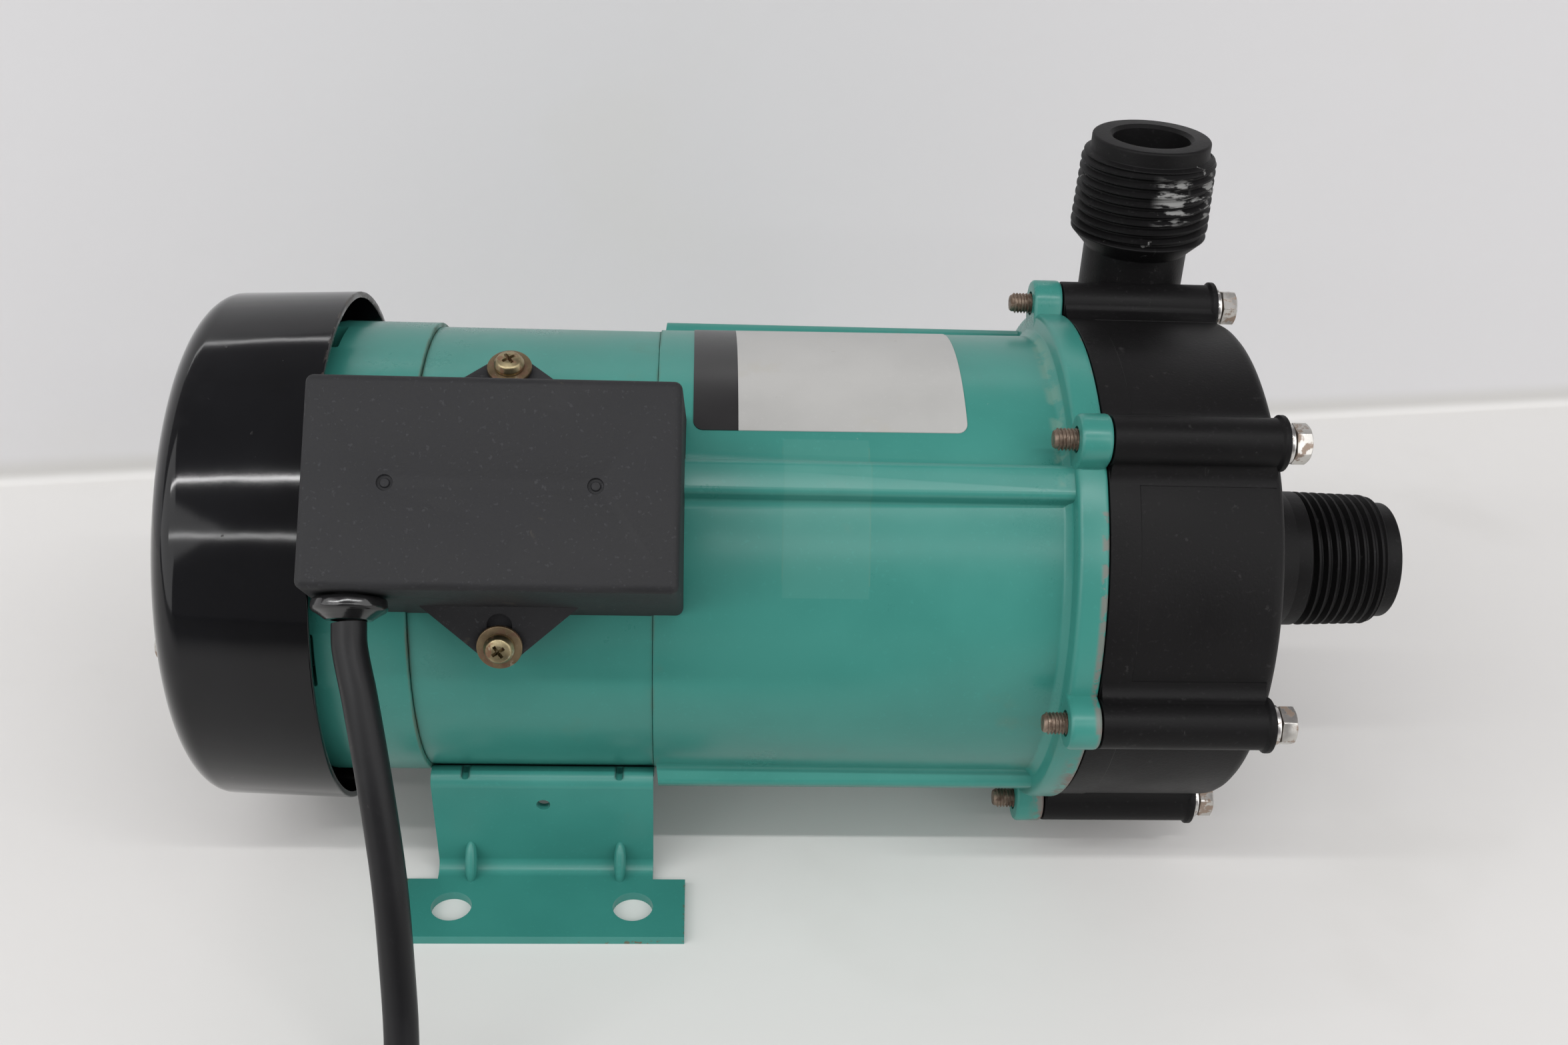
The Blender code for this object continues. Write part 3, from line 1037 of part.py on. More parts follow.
def terminal_box(shell):
    """Hollow box seated on the shell, with an ear and a screw above and below."""
    spot = AXIS + Vector((BOX_X, 0.0, 0.0))
    body = tapered_box("terminal_box", BOX_LENGTH, BOX_HEIGHT, BOX_ROOT, BOX_FACE, BOX_DRAFT, BOX_PLASTIC)
    soften(body, BOX_ROUND, 2)
    for name, way in (("upper", 1.0), ("lower", -1.0)):
        thick = EAR_FACE - BOX_ROOT + 0.0080
        join(body, plate(f"box_ear_{name}_join", [ear_outline(way)], thick,
                         location=spot + BOX_TURN @ Vector((0.0, 0.0, EAR_FACE - 0.5 * thick)), turn=BOX_TURN))
    hollow = tapered_box("box_hollow_cut", BOX_LENGTH - 2.0 * BOX_WALL, BOX_HEIGHT - 2.0 * BOX_WALL,
                         BOX_ROOT - 0.010, BOX_FACE - BOX_WALL, BOX_DRAFT)
    seat = SHELL_RADIUS + FIT
    wide = BRACKET_FRONT_RADIUS + FIT
    front = FRONT_SEAM - FIT
    rear = REAR_SEAM + FIT
    bell = BELL_RADIUS + FIT
    rest = turned("box_seat_cut", [
        (BOX_X + BOX_LENGTH, 0.0), (BOX_X + BOX_LENGTH, wide), (front, wide), (front, seat),
        (rear, seat), (rear, bell), (BOX_X - BOX_LENGTH, bell), (BOX_X - BOX_LENGTH, 0.0)])
    cut(body, hollow, rest)
    for index, way in ((1, 1.0), (2, -1.0)):
        y = way * EAR_SCREW
        hole = rods(f"ear_screw_{index}_cut", [(0.0, y, 0.030, 0.070, EAR_SCREW_HOLE)], location=spot,
                    turn=BOX_TURN)
        cut(body, hole)
        cut(shell, hole)
        at = spot + BOX_TURN @ Vector((0.0, y, 0.0))
        low = EAR_FACE + FIT
        high = low + EAR_WASHER_THICKNESS
        turned(f"box_washer_{index}", [
            (high, EAR_WASHER_RADIUS), (low, EAR_WASHER_RADIUS), (low, EAR_WASHER_HOLE),
            (high, EAR_WASHER_HOLE)], YELLOW_ZINC, SMALL, at, BOX_TURN)
        head = high + FIT
        tip = math.sqrt(SHELL_INNER ** 2 - EAR_SCREW ** 2) + 0.0016
        turned(f"box_screw_{index}", [
            (head + EAR_SCREW_HEAD_HEIGHT, 0.0), (head + EAR_SCREW_HEAD_HEIGHT, 0.6 * EAR_SCREW_HEAD),
            (head + 0.6 * EAR_SCREW_HEAD_HEIGHT, EAR_SCREW_HEAD), (head, EAR_SCREW_HEAD),
            (head, EAR_SCREW_RADIUS), (tip, EAR_SCREW_RADIUS), (tip, 0.0)], YELLOW_ZINC, SMALL, at, BOX_TURN)

    wall = 0.5 * BOX_HEIGHT - BOX_WALL
    cap_y = wall - FIT - CAPACITOR_RADIUS
    cap_z = BOX_FACE - BOX_WALL - FIT - CAPACITOR_RADIUS
    cap_end = 0.5 * BOX_LENGTH - BOX_WALL - FIT
    can = [(cap_end, 0.0), (cap_end, CAPACITOR_RADIUS - 0.001), (cap_end - 0.001, CAPACITOR_RADIUS),
           (cap_end - CAPACITOR_LENGTH, CAPACITOR_RADIUS), (cap_end - CAPACITOR_LENGTH, 0.0)]
    turned("run_capacitor", can, ALUMINIUM, 14, spot + BOX_TURN @ Vector((0.0, cap_y, cap_z)),
           BOX_TURN @ ALONG_X)
    return body


def cord_exit():
    """The middle of the bushing's outer end and the way the cord leaves it."""
    spot = AXIS + Vector((BOX_X, 0.0, 0.0)) + BOX_TURN @ Vector((BUSHING_OFFSET, -BUSHING_END, BUSHING_OUT))
    return spot, BOX_TURN @ Vector((0.0, -1.0, 0.0))


def cord_bushing(box):
    """Bushing snapped into the box's lower wall."""
    slope = BOX_DRAFT * (BOX_FACE - BUSHING_OUT) / (BOX_FACE - BOX_ROOT)
    outer = 0.5 * BOX_HEIGHT + slope + FIT
    inner = outer - BOX_WALL - 2.0 * FIT - slope
    flange = outer + BUSHING_FLANGE_LENGTH
    spot = AXIS + Vector((BOX_X, 0.0, 0.0)) + BOX_TURN @ Vector((BUSHING_OFFSET, 0.0, BUSHING_OUT))
    down = BOX_TURN @ Matrix.Rotation(math.radians(90.0), 4, "X")
    cut(box, rods("bushing_cut", [(0.0, 0.0, inner - PAST, outer + PAST, BUSHING_NECK + FIT)], None, 16,
                  spot, down))
    step = BUSHING_ROUND
    lip = BUSHING_NECK + 0.7 * step
    tip = inner - BUSHING_INNER_LENGTH
    turned("cord_bushing", [
        (BUSHING_END, 0.0), (BUSHING_END, CORD_RADIUS + 0.5 * step), (flange, CORD_RADIUS + 1.5 * step),
        (flange, BUSHING_FLANGE - step), (flange - step, BUSHING_FLANGE), (outer + 0.8 * step, BUSHING_FLANGE),
        (outer, BUSHING_FLANGE - 0.7 * step), (outer, BUSHING_NECK), (inner, BUSHING_NECK), (inner, lip),
        (tip, BUSHING_NECK - 0.5 * step), (tip, 0.0)], BLACK_RUBBER, 14, spot, down)


def curve_through(points, count):
    """Evenly spaced points on a smooth curve through the route's points."""
    route = [Vector(point) for point in points]
    route = [2.0 * route[0] - route[1]] + route + [2.0 * route[-1] - route[-2]]
    fine = []
    for index in range(1, len(route) - 2):
        a, b, c, d = route[index - 1:index + 3]
        for step in range(24):
            t = step / 24.0
            fine.append(0.5 * ((2.0 * b) + (c - a) * t + (2.0 * a - 5.0 * b + 4.0 * c - d) * t * t +
                               (3.0 * b - a - 3.0 * c + d) * t ** 3))
    fine.append(route[-2])
    marks = [0.0]
    for first, second in zip(fine, fine[1:]):
        marks.append(marks[-1] + (second - first).length)
    result = []
    place_at = 0
    for index in range(count):
        mark = marks[-1] * index / (count - 1)
        while place_at < len(fine) - 2 and marks[place_at + 1] < mark:
            place_at += 1
        share = (mark - marks[place_at]) / (marks[place_at + 1] - marks[place_at])
        result.append(fine[place_at].lerp(fine[place_at + 1], min(max(share, 0.0), 1.0)))
    return result


def cord_route():
    """Points that the cord passes on its way down to the floor and along it to the coil."""
    start, way = cord_exit()
    start = start + way * FIT
    lane = start.x + 0.0127
    low = CORD_RADIUS + CORD_LIFT
    outer = COIL_RADIUS + COIL_HALF_WIDTH
    reach = math.sqrt(outer ** 2 - (outer - 2.0 * CORD_RADIUS) ** 2)
    return [start, start + way * 0.0060,
            (start.x + 0.0045, start.y - 0.0091, start.z - 0.0111),
            (start.x + 0.0080, start.y - 0.0186, start.z - 0.0266),
            (start.x + 0.0106, start.y - 0.0261, start.z - 0.0441),
            (start.x + 0.0118, start.y - 0.0321, start.z - 0.0621),
            (start.x + 0.0125, -0.1110, low + 0.0182),
            (lane, -0.1168, low + 0.0092),
            (lane, -0.1235, low + 0.0038),
            (lane, -0.1305, low + 0.0009),
            (lane, -0.1380, low),
            (lane, COIL_Y + reach + FIT, low)]


def power_cord():
    """Cord from the bushing down to the floor, and its spare length as a coil that the cord runs into."""
    route = cord_route()
    points = curve_through(route, CORD_POINTS)
    curve = bpy.data.curves.new("power_cord", "CURVE")
    curve.dimensions = "3D"
    curve.bevel_depth = CORD_RADIUS
    curve.bevel_resolution = 2
    curve.use_fill_caps = True
    spline = curve.splines.new("POLY")
    spline.points.add(len(points) - 1)
    for knot, point in zip(spline.points, points):
        knot.co = (*point, 1.0)
    place(bpy.data.objects.new("power_cord", curve), BLACK_RUBBER)

    inner = COIL_RADIUS - COIL_HALF_WIDTH
    outer = COIL_RADIUS + COIL_HALF_WIDTH
    centre_x = route[-1][0] + outer - CORD_RADIUS
    shoulder = 2.0 * CORD_RADIUS
    turned("cord_coil", [
        (COIL_HEIGHT, outer - CORD_RADIUS), (shoulder, outer), (0.0, outer), (0.0, inner), (shoulder, inner),
        (COIL_HEIGHT, inner + CORD_RADIUS)], BLACK_RUBBER, 40, (centre_x, COIL_Y, 0.0), Matrix.Identity(4))
    return centre_x


def power_plug(centre_x):
    """Two-pin plug on the floor beside the coil, in line with the turn that the cord leaves."""
    outer = COIL_RADIUS + COIL_HALF_WIDTH
    lane = outer - 2.0 * CORD_RADIUS
    tail = CORD_RADIUS + PLUG_TAIL_WALL
    lift = 0.5 * PLUG_HEIGHT
    y = COIL_Y - lane
    tail_start = centre_x + math.sqrt(outer ** 2 - (lane - tail) ** 2) + FIT
    body_start = tail_start + PLUG_TAIL
    body = blocks("power_plug", [((0.0, 0.0, 0.0), (PLUG_LENGTH, PLUG_WIDTH, PLUG_HEIGHT), 0.0)],
                  BLACK_RUBBER, (body_start + 0.5 * PLUG_LENGTH, y, lift))
    soften(body, PLUG_ROUND, 3)
    join(body, turned("plug_tail_join", [
        (body_start + 0.0020, 0.0), (body_start + 0.0020, tail + 0.0016), (tail_start, tail),
        (tail_start, 0.0)], None, 16, (0.0, y, lift)))
    pin_start = body_start + PLUG_LENGTH + FIT
    for index, way in ((1, -0.5), (2, 0.5)):
        centre = (pin_start + 0.5 * PIN_LENGTH, y + way * PIN_SPACING, lift)
        pin = blocks(f"plug_pin_{index}", [((0.0, 0.0, 0.0), (PIN_LENGTH, PIN_THICKNESS, PIN_WIDTH), 0.0)],
                     BRASS, location=centre)
        soften(pin, 0.0004, 1)


STATOR_SHELL = motor()
BASE = base_bracket()
base_screws(STATOR_SHELL, BASE)
cooling()
pump_bracket()
front_casing()
bolts()
coupling()
impeller()
BOX = terminal_box(STATOR_SHELL)
cord_bushing(BOX)
power_plug(power_cord())

# Cord pieces lie outside the pump's own outline, whose middle on the floor is the origin.
CORD_PIECES = {"power_cord", "cord_coil", "power_plug", "plug_pin_1", "plug_pin_2"}


def centre_on_outline():
    """Moves the pump so that the middle of its outline on the floor is the origin."""
    bpy.context.view_layer.update()
    depsgraph = bpy.context.evaluated_depsgraph_get()
    low = Vector((1.0, 1.0))
    high = Vector((-1.0, -1.0))
    for obj in PUMP.objects:
        if obj.type == "EMPTY" or obj.name in CORD_PIECES:
            continue
        shape = obj.evaluated_get(depsgraph)
        for vert in shape.data.vertices:
            spot = shape.matrix_world @ vert.co
            low = Vector((min(low.x, spot.x), min(low.y, spot.y)))
            high = Vector((max(high.x, spot.x), max(high.y, spot.y)))
    ORIGIN.location = (-0.5 * (low.x + high.x), -0.5 * (low.y + high.y), 0.0)


centre_on_outline()
for piece in PUMP.objects:
    if piece.type == "MESH" and not any(step.type == "SCREW" for step in piece.modifiers):
        smooth(piece)
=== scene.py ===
"""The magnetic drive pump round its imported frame: fine shapes, finishes, cord, floor and light.

Lengths are in metres. The shaft lies along +X, the outlet points up and the pump stands on z = 0.
"""
import json
import logging
import math
from dataclasses import dataclass
from enum import Enum
from typing import Sequence

import bmesh
import bpy
from mathutils import Matrix, Vector, noise


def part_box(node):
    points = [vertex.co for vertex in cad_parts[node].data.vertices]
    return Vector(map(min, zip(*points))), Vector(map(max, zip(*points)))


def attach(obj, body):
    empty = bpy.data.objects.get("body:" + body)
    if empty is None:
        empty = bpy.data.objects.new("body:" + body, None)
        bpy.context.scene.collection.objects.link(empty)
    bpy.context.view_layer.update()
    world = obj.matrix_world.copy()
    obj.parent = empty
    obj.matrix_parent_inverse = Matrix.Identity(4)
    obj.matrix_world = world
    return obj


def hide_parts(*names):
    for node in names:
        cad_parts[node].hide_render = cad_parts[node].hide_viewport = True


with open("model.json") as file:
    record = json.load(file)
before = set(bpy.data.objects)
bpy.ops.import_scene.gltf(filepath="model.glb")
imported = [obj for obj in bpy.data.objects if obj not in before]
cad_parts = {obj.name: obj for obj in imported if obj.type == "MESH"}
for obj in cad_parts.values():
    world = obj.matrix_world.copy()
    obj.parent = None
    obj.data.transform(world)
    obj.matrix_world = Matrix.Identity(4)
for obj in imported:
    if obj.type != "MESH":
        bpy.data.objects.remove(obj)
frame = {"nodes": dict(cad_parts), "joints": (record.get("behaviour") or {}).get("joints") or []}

LOG = logging.getLogger("magnetic_drive_pump")
Colour = tuple[float, float, float]
Pair = tuple[float, float]
Corner = Sequence[float]

_SHAFT_SPOT = frame["joints"][0]["pos_m"]
SHAFT_Y = _SHAFT_SPOT[1]
SHAFT_Z = _SHAFT_SPOT[2]
ALONG_X = Matrix.Rotation(math.radians(90.0), 4, "Y")
SHAFT = Matrix.Translation((0.0, SHAFT_Y, SHAFT_Z)) @ ALONG_X
CLEAR = 0.0003
REAR_GAP = 0.00006
FRONT_GAP = 0.00003
REAR_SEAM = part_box("stator_shell")[0].x - 0.5 * CLEAR
FRONT_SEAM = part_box("stator_shell")[1].x + 0.5 * CLEAR
JOINT_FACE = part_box("front_casing")[0].x - CLEAR
SUCTION_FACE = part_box("front_casing")[1].x
DISCHARGE_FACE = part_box("front_casing")[1].z


class Body(Enum):
    """The frame's moving groups."""

    PUMP = "pump_body"
    ROTOR = "motor_rotor"
    IMPELLER = "driven_impeller"


# Patterns and finishes.
@dataclass(frozen=True)
class Zone:
    """A stretch of the pump in which a mark shows, each limit given as low and high."""

    x: Pair | None = None
    y: Pair | None = None
    z: Pair | None = None
    radius: Pair | None = None
    degrees: Pair | None = None
    edge: float = 0.0006


@dataclass(frozen=True)
class Mark:
    """Patches of another colour on a finish: stains, chips, dust, scratches, residue, and a few painted
    shades and highlights.
    """

    colour: Colour
    roughness: float
    scale: float = 60.0
    start: float = 0.60
    width: float = 0.06
    strength: float = 1.0
    detail: float = 6.0
    stretch: tuple[float, float, float] = (1.0, 1.0, 1.0)
    zone: Zone | None = None
    metallic: float | None = None
    depth: float = 0.0


class Graph:
    """A material's node tree, written from a pattern's place to its shader."""

    def __init__(self, name: str) -> None:
        """Starts a material with that name."""
        self.material = bpy.data.materials.new(name)
        self.material.use_nodes = True
        self.tree = self.material.node_tree
        self.shader = self.tree.nodes["Principled BSDF"]
        self.place = self.node("ShaderNodeTexCoord", {}).outputs["Object"]

    def node(self, kind: str, inputs: dict, **settings: object) -> bpy.types.Node:
        """Adds a node.

        Args:
            kind: the node's type.
            inputs: a value or an output socket for each input's name or number.
            settings: the node's own properties.

        Returns:
            The node.
        """
        made = self.tree.nodes.new(kind)
        for key, value in settings.items():
            setattr(made, key, value)
        for key, value in inputs.items():
            if isinstance(value, bpy.types.NodeSocket):
                self.tree.links.new(value, made.inputs[key])
            else:
                made.inputs[key].default_value = value
        return made

    def math(self, operation: str, first: object, second: object = 0.0) -> bpy.types.NodeSocket:
        """A sum, product or other operation on one or two values."""
        return self.node("ShaderNodeMath", {0: first, 1: second}, operation=operation).outputs[0]

    def step(self, value: object, low: float, high: float, to_low: float = 0.0,
             to_high: float = 1.0) -> bpy.types.NodeSocket:
        """A soft step of a value from one level to another."""
        made = self.node("ShaderNodeMapRange", {
            "Value": value, "From Min": low, "From Max": high, "To Min": to_low, "To Max": to_high},
            interpolation_type="SMOOTHSTEP")
        return made.outputs["Result"]

    def noise(self, scale: float, detail: float = 3.0, stretch: Corner = (1.0, 1.0, 1.0),
              rough: float = 0.55) -> bpy.types.NodeSocket:
        """Noise at a place on the piece, in features a metre, stretched along the axes."""
        place = self.place
        if tuple(stretch) != (1.0, 1.0, 1.0):
            place = self.node("ShaderNodeMapping", {"Vector": place, "Scale": tuple(stretch)}).outputs[0]
        made = self.node("ShaderNodeTexNoise", {
            "Vector": place, "Scale": scale, "Detail": detail, "Roughness": rough})
        return made.outputs["Fac"]

    def blend(self, factor: object, first: object, second: object) -> bpy.types.NodeSocket:
        """A colour between two colours."""
        inputs = {0: factor, 6: first, 7: second}
        return self.node("ShaderNodeMix", inputs, data_type="RGBA").outputs[2]

    def level(self, factor: object, first: object, second: object) -> bpy.types.NodeSocket:
        """A number between two numbers."""
        return self.node("ShaderNodeMix", {0: factor, 2: first, 3: second}).outputs[0]

    def zone(self, zone: Zone) -> bpy.types.NodeSocket:
        """One inside a zone and nought outside it, with soft edges."""
        parts = self.node("ShaderNodeSeparateXYZ", {0: self.place}).outputs
        across = self.math("SUBTRACT", SHAFT_Y, parts[1])
        above = self.math("SUBTRACT", parts[2], SHAFT_Z)
        values = {"x": parts[0], "y": parts[1], "z": parts[2]}
        if zone.radius:
            values["radius"] = self.math("SQRT", self.math(
                "ADD", self.math("MULTIPLY", across, across), self.math("MULTIPLY", above, above)))
        if zone.degrees:
            values["degrees"] = self.math("DEGREES", self.math("ARCTAN2", above, across))
        result = None
        for key, value in values.items():
            limits = getattr(zone, key)
            if limits is None:
                continue
            soft = zone.edge * (700.0 if key == "degrees" else 1.0)
            inside = self.math("MULTIPLY", self.step(value, limits[0] - soft, limits[0] + soft),
                               self.step(value, limits[1] - soft, limits[1] + soft, 1.0, 0.0))
            result = inside if result is None else self.math("MULTIPLY", result, inside)
        return result


@dataclass(frozen=True)
class Finish:
    """A finish: its colour and gloss, how far they vary, its grain and the marks on it."""

    name: str
    slot: str
    colour: Colour
    roughness: float
    metallic: float = 0.0
    patch: float = 0.10
    patch_scale: float = 26.0
    speckle: float = 0.04
    speckle_scale: float = 900.0
    grain: float = 0.00002
    grain_scale: float = 1600.0
    ripple: float = 0.0
    ripple_scale: float = 160.0
    coat: float = 0.0
    specular: float = 0.5
    marks: tuple[Mark, ...] = ()

    def material(self) -> bpy.types.Material:
        """The finish as a material, which is made once."""
        made = bpy.data.materials.get(self.name)
        if made is not None:
            return made
        graph = Graph(self.name)
        patches = graph.noise(self.patch_scale, 4.0)
        specks = graph.noise(self.speckle_scale, 2.0)
        light = tuple(min(c * (1.0 + self.patch) + 0.15 * self.patch * max(self.colour), 1.0)
                      for c in self.colour)
        dark = tuple(c * (1.0 - self.patch) for c in self.colour)
        colour = graph.blend(graph.step(patches, 0.32, 0.68), (*dark, 1.0), (*light, 1.0))
        pale = tuple(min(c * (1.0 + 3.0 * self.speckle) + 0.2 * self.speckle * max(self.colour), 1.0)
                     for c in self.colour)
        colour = graph.blend(graph.step(specks, 0.60, 0.75, 0.0, 0.6), colour, (*pale, 1.0))
        smooth, dull = 0.86 * self.roughness, 1.14 * self.roughness
        rough = graph.math("ADD", graph.step(patches, 0.25, 0.75, smooth, dull),
                           graph.step(specks, 0.4, 0.7, 0.0, 0.05 * self.roughness))
        metal: object = self.metallic
        height = graph.math("MULTIPLY", graph.noise(self.grain_scale, 3.0), self.grain * 1000.0)
        if self.ripple:
            wave = graph.math("MULTIPLY", graph.noise(self.ripple_scale, 1.0), self.ripple * 1000.0)
            height = graph.math("ADD", height, wave)
        for mark in self.marks:
            mask = graph.step(graph.noise(mark.scale, mark.detail, mark.stretch, 0.6), mark.start,
                              mark.start + mark.width, 0.0, mark.strength)
            if mark.zone is not None:
                mask = graph.math("MULTIPLY", mask, graph.zone(mark.zone))
            colour = graph.blend(mask, colour, (*mark.colour, 1.0))
            rough = graph.level(mask, rough, mark.roughness)
            if mark.metallic is not None:
                metal = graph.level(mask, metal, mark.metallic)
            if mark.depth:
                height = graph.math("ADD", height, graph.math("MULTIPLY", mask, mark.depth * 1000.0))
        bump = graph.node("ShaderNodeBump", {"Height": height, "Strength": 1.0, "Distance": 0.001})
        links = graph.tree.links
        links.new(colour, graph.shader.inputs["Base Color"])
        links.new(rough, graph.shader.inputs["Roughness"])
        links.new(bump.outputs["Normal"], graph.shader.inputs["Normal"])
        if isinstance(metal, bpy.types.NodeSocket):
            links.new(metal, graph.shader.inputs["Metallic"])
        else:
            graph.shader.inputs["Metallic"].default_value = metal
        graph.shader.inputs["Specular IOR Level"].default_value = self.specular
        if self.coat:
            graph.shader.inputs["Coat Weight"].default_value = self.coat
            graph.shader.inputs["Coat Roughness"].default_value = 0.12
        return graph.material


GREEN: Colour = (0.040, 0.230, 0.193)
RUST: Colour = (0.150, 0.062, 0.022)
BARE_METAL: Colour = (0.215, 0.170, 0.155)
SCUFF: Colour = (0.420, 0.420, 0.410)
_SEAM_DIRT = tuple(
    Mark((0.100, 0.080, 0.048), 0.8, 90.0, 0.34, 0.3, strength,
         zone=Zone(x=(seam - 0.0004, seam + 0.0004), edge=0.0002))
    for seam, strength in ((REAR_SEAM, 0.60), (FRONT_SEAM, 0.35)))
_PAINT_SPECKS = Mark((0.30, 0.42, 0.36), 0.5, 420.0, 0.74, 0.03, 0.5)
_PAINT_GRIME = Mark((0.100, 0.200, 0.150), 0.6, 34.0, 0.62, 0.10, 0.30)

MOTOR_PAINT = Finish("motor_paint", "green_paint", GREEN, 0.30, patch=0.05, grain=0.000004, ripple=0.00003,
                     specular=0.42, marks=(_PAINT_SPECKS, _PAINT_GRIME) + _SEAM_DIRT)
_EDGE_LOW = Zone(x=(JOINT_FACE - 0.0007, JOINT_FACE + 0.001), degrees=(-75.0, -3.0), radius=(0.0585, 0.0720),
                 edge=0.0007)
_TORN = Zone(x=(JOINT_FACE - 0.0026, JOINT_FACE + 0.001), degrees=(-75.0, -20.0), radius=(0.0585, 0.0720),
             edge=0.0022)
BRACKET_PAINT = Finish(
    "bracket_paint", "green_paint", GREEN, 0.30, patch=0.05, grain=0.000004, ripple=0.00004, specular=0.42,
    marks=(_PAINT_SPECKS, _PAINT_GRIME) + _SEAM_DIRT[1:] + (
        Mark(BARE_METAL, 0.60, 240.0, 0.30, 0.10, 0.85, zone=_EDGE_LOW, metallic=0.2, depth=-0.00006),
        Mark(BARE_METAL, 0.60, 150.0, 0.46, 0.08, 0.80, zone=_TORN, metallic=0.2, depth=-0.00006),
        Mark((0.20, 0.13, 0.11), 0.7, 420.0, 0.50, 0.08, 0.60, zone=_TORN, metallic=0.1),
        Mark(BARE_METAL, 0.60, 260.0, 0.44, 0.08, 0.7, metallic=0.2, depth=-0.00005,
             zone=Zone(x=(JOINT_FACE - 0.0016, JOINT_FACE + 0.001), degrees=(-4.0, 40.0),
                       radius=(0.0580, 0.0720), edge=0.0005)),
        Mark(BARE_METAL, 0.5, 200.0, 0.60, 0.06, 0.6, metallic=0.2, depth=-0.00005,
             zone=Zone(x=(JOINT_FACE - 0.0007, JOINT_FACE + 0.001), radius=(0.0580, 0.0720), edge=0.0003)),
        Mark((0.30, 0.52, 0.44), 0.45, 20.0, 0.20, 0.2, 0.05,
             zone=Zone(x=(-0.0082, 0.0110), degrees=(20.0, 58.0), edge=0.0002)),
        Mark((0.075, 0.220, 0.165), 0.6, 60.0, 0.35, 0.2, 0.45,
             zone=Zone(x=(-0.0084, -0.0081), degrees=(23.0, 56.0), edge=0.0001)),
        Mark((0.075, 0.220, 0.165), 0.6, 60.0, 0.38, 0.2, 0.40,
             zone=Zone(x=(0.0108, 0.0111), degrees=(23.0, 56.0), edge=0.0001)),
        Mark((0.24, 0.33, 0.26), 0.7, 160.0, 0.46, 0.10, 0.35,
             zone=Zone(x=(JOINT_FACE - 0.0102, JOINT_FACE - 0.0074), degrees=(42.0, 110.0), edge=0.0008))))
BASE_PAINT = Finish(
    "base_paint", "green_paint", (0.039, 0.232, 0.197), 0.36, patch=0.06, grain=0.000006, ripple=0.00004,
    marks=(_PAINT_SPECKS, _PAINT_GRIME,
           # Painted shade: near-black patches on the web round each notch under the shell, on both sides.
           Mark((0.008, 0.026, 0.022), 0.8, 90.0, 0.10, 0.2, 0.85,
                zone=Zone(x=(-0.0825, -0.0803), z=(0.0330, 0.0384), edge=0.0004)),
           Mark((0.008, 0.026, 0.022), 0.8, 90.0, 0.10, 0.2, 0.85,
                zone=Zone(x=(-0.0457, -0.0435), z=(0.0330, 0.0384), edge=0.0004)),
           Mark(RUST, 0.85, 420.0, 0.60, 0.05, 0.7, depth=0.00004,
                zone=Zone(x=(-0.0580, -0.0280), y=(-0.0700, -0.0580), z=(-0.001, 0.0010), edge=0.0004)),
           Mark(RUST, 0.85, 460.0, 0.52, 0.05, 0.8, depth=0.00004,
                zone=Zone(x=(-0.0286, -0.0270), z=(-0.001, 0.0032), edge=0.0004)),
           Mark(RUST, 0.85, 230.0, 0.50, 0.05, 0.9, depth=0.00004,
                zone=Zone(x=(-0.0990, -0.0968), z=(-0.001, 0.0032), edge=0.0006)),
           Mark(RUST, 0.85, 190.0, 0.55, 0.05, 0.9, depth=0.00004,
                zone=Zone(y=(0.0656, 0.0800), z=(-0.001, 0.0040), edge=0.0005))))
COVER_ENAMEL = Finish(
    "cover_enamel", "black_enamel", (0.0046, 0.0048, 0.0058), 0.10, patch=0.25, grain=0.000002,
    ripple=0.00003, ripple_scale=120.0, specular=0.32, marks=(
        Mark((0.016, 0.016, 0.017), 0.24, 30.0, 0.58, 0.14, 0.30),
        Mark((0.060, 0.058, 0.056), 0.50, 260.0, 0.70, 0.04, 0.5),
        # Painted highlight mixed with wear: a lighter brownish edge on the cover's rim, only along its top.
        Mark((0.070, 0.058, 0.048), 0.6, 200.0, 0.46, 0.10, 0.5,
             zone=Zone(x=(-0.1094, -0.1080), z=(0.115, 0.2), edge=0.0003))))
CASING_PLASTIC = Finish(
    "casing_plastic", "black_plastic", (0.0072, 0.0069, 0.0072), 0.46, patch=0.12, patch_scale=34.0,
    specular=0.13, speckle=0.40, speckle_scale=1000.0, grain=0.000045, grain_scale=1500.0, marks=(
        Mark((0.034, 0.033, 0.033), 0.55, 300.0, 0.66, 0.05, 0.55),
        Mark((0.045, 0.044, 0.043), 0.55, 90.0, 0.68, 0.04, 0.5, stretch=(4.0, 1.0, 1.0)),
        Mark(SCUFF, 0.6, 210.0, 0.54, 0.08, 0.62, stretch=(0.6, 0.6, 3.2),
             zone=Zone(x=(0.083, 0.105), y=(0.020, 0.042), z=(0.1530, 0.1640), edge=0.002)),
        Mark(SCUFF, 0.6, 260.0, 0.66, 0.05, 0.35, zone=Zone(z=(0.138, 0.168), edge=0.002))))
BOX_PLASTIC = Finish(
    "box_plastic_grain", "box_plastic", (0.0196, 0.0198, 0.0216), 0.60, patch=0.12, patch_scale=40.0,
    specular=0.27, speckle=0.45, speckle_scale=1000.0, grain=0.000080, grain_scale=1500.0, marks=(
        Mark((0.060, 0.060, 0.062), 0.62, 26.0, 0.55, 0.20, 0.14),
        Mark((0.380, 0.380, 0.370), 0.6, 380.0, 0.735, 0.02, 0.7, stretch=(1.0, 0.40, 0.40)),
        Mark((0.090, 0.078, 0.060), 0.7, 130.0, 0.66, 0.06, 0.35)))
GLOSS_RUBBER = Finish("gloss_rubber", "black_rubber", (0.0100, 0.0100, 0.0105), 0.16, patch=0.2,
                      grain=0.000006, ripple=0.00030, ripple_scale=190.0, coat=0.3, marks=(
                          Mark((0.060, 0.056, 0.050), 0.6, 240.0, 0.62, 0.08, 0.5),))
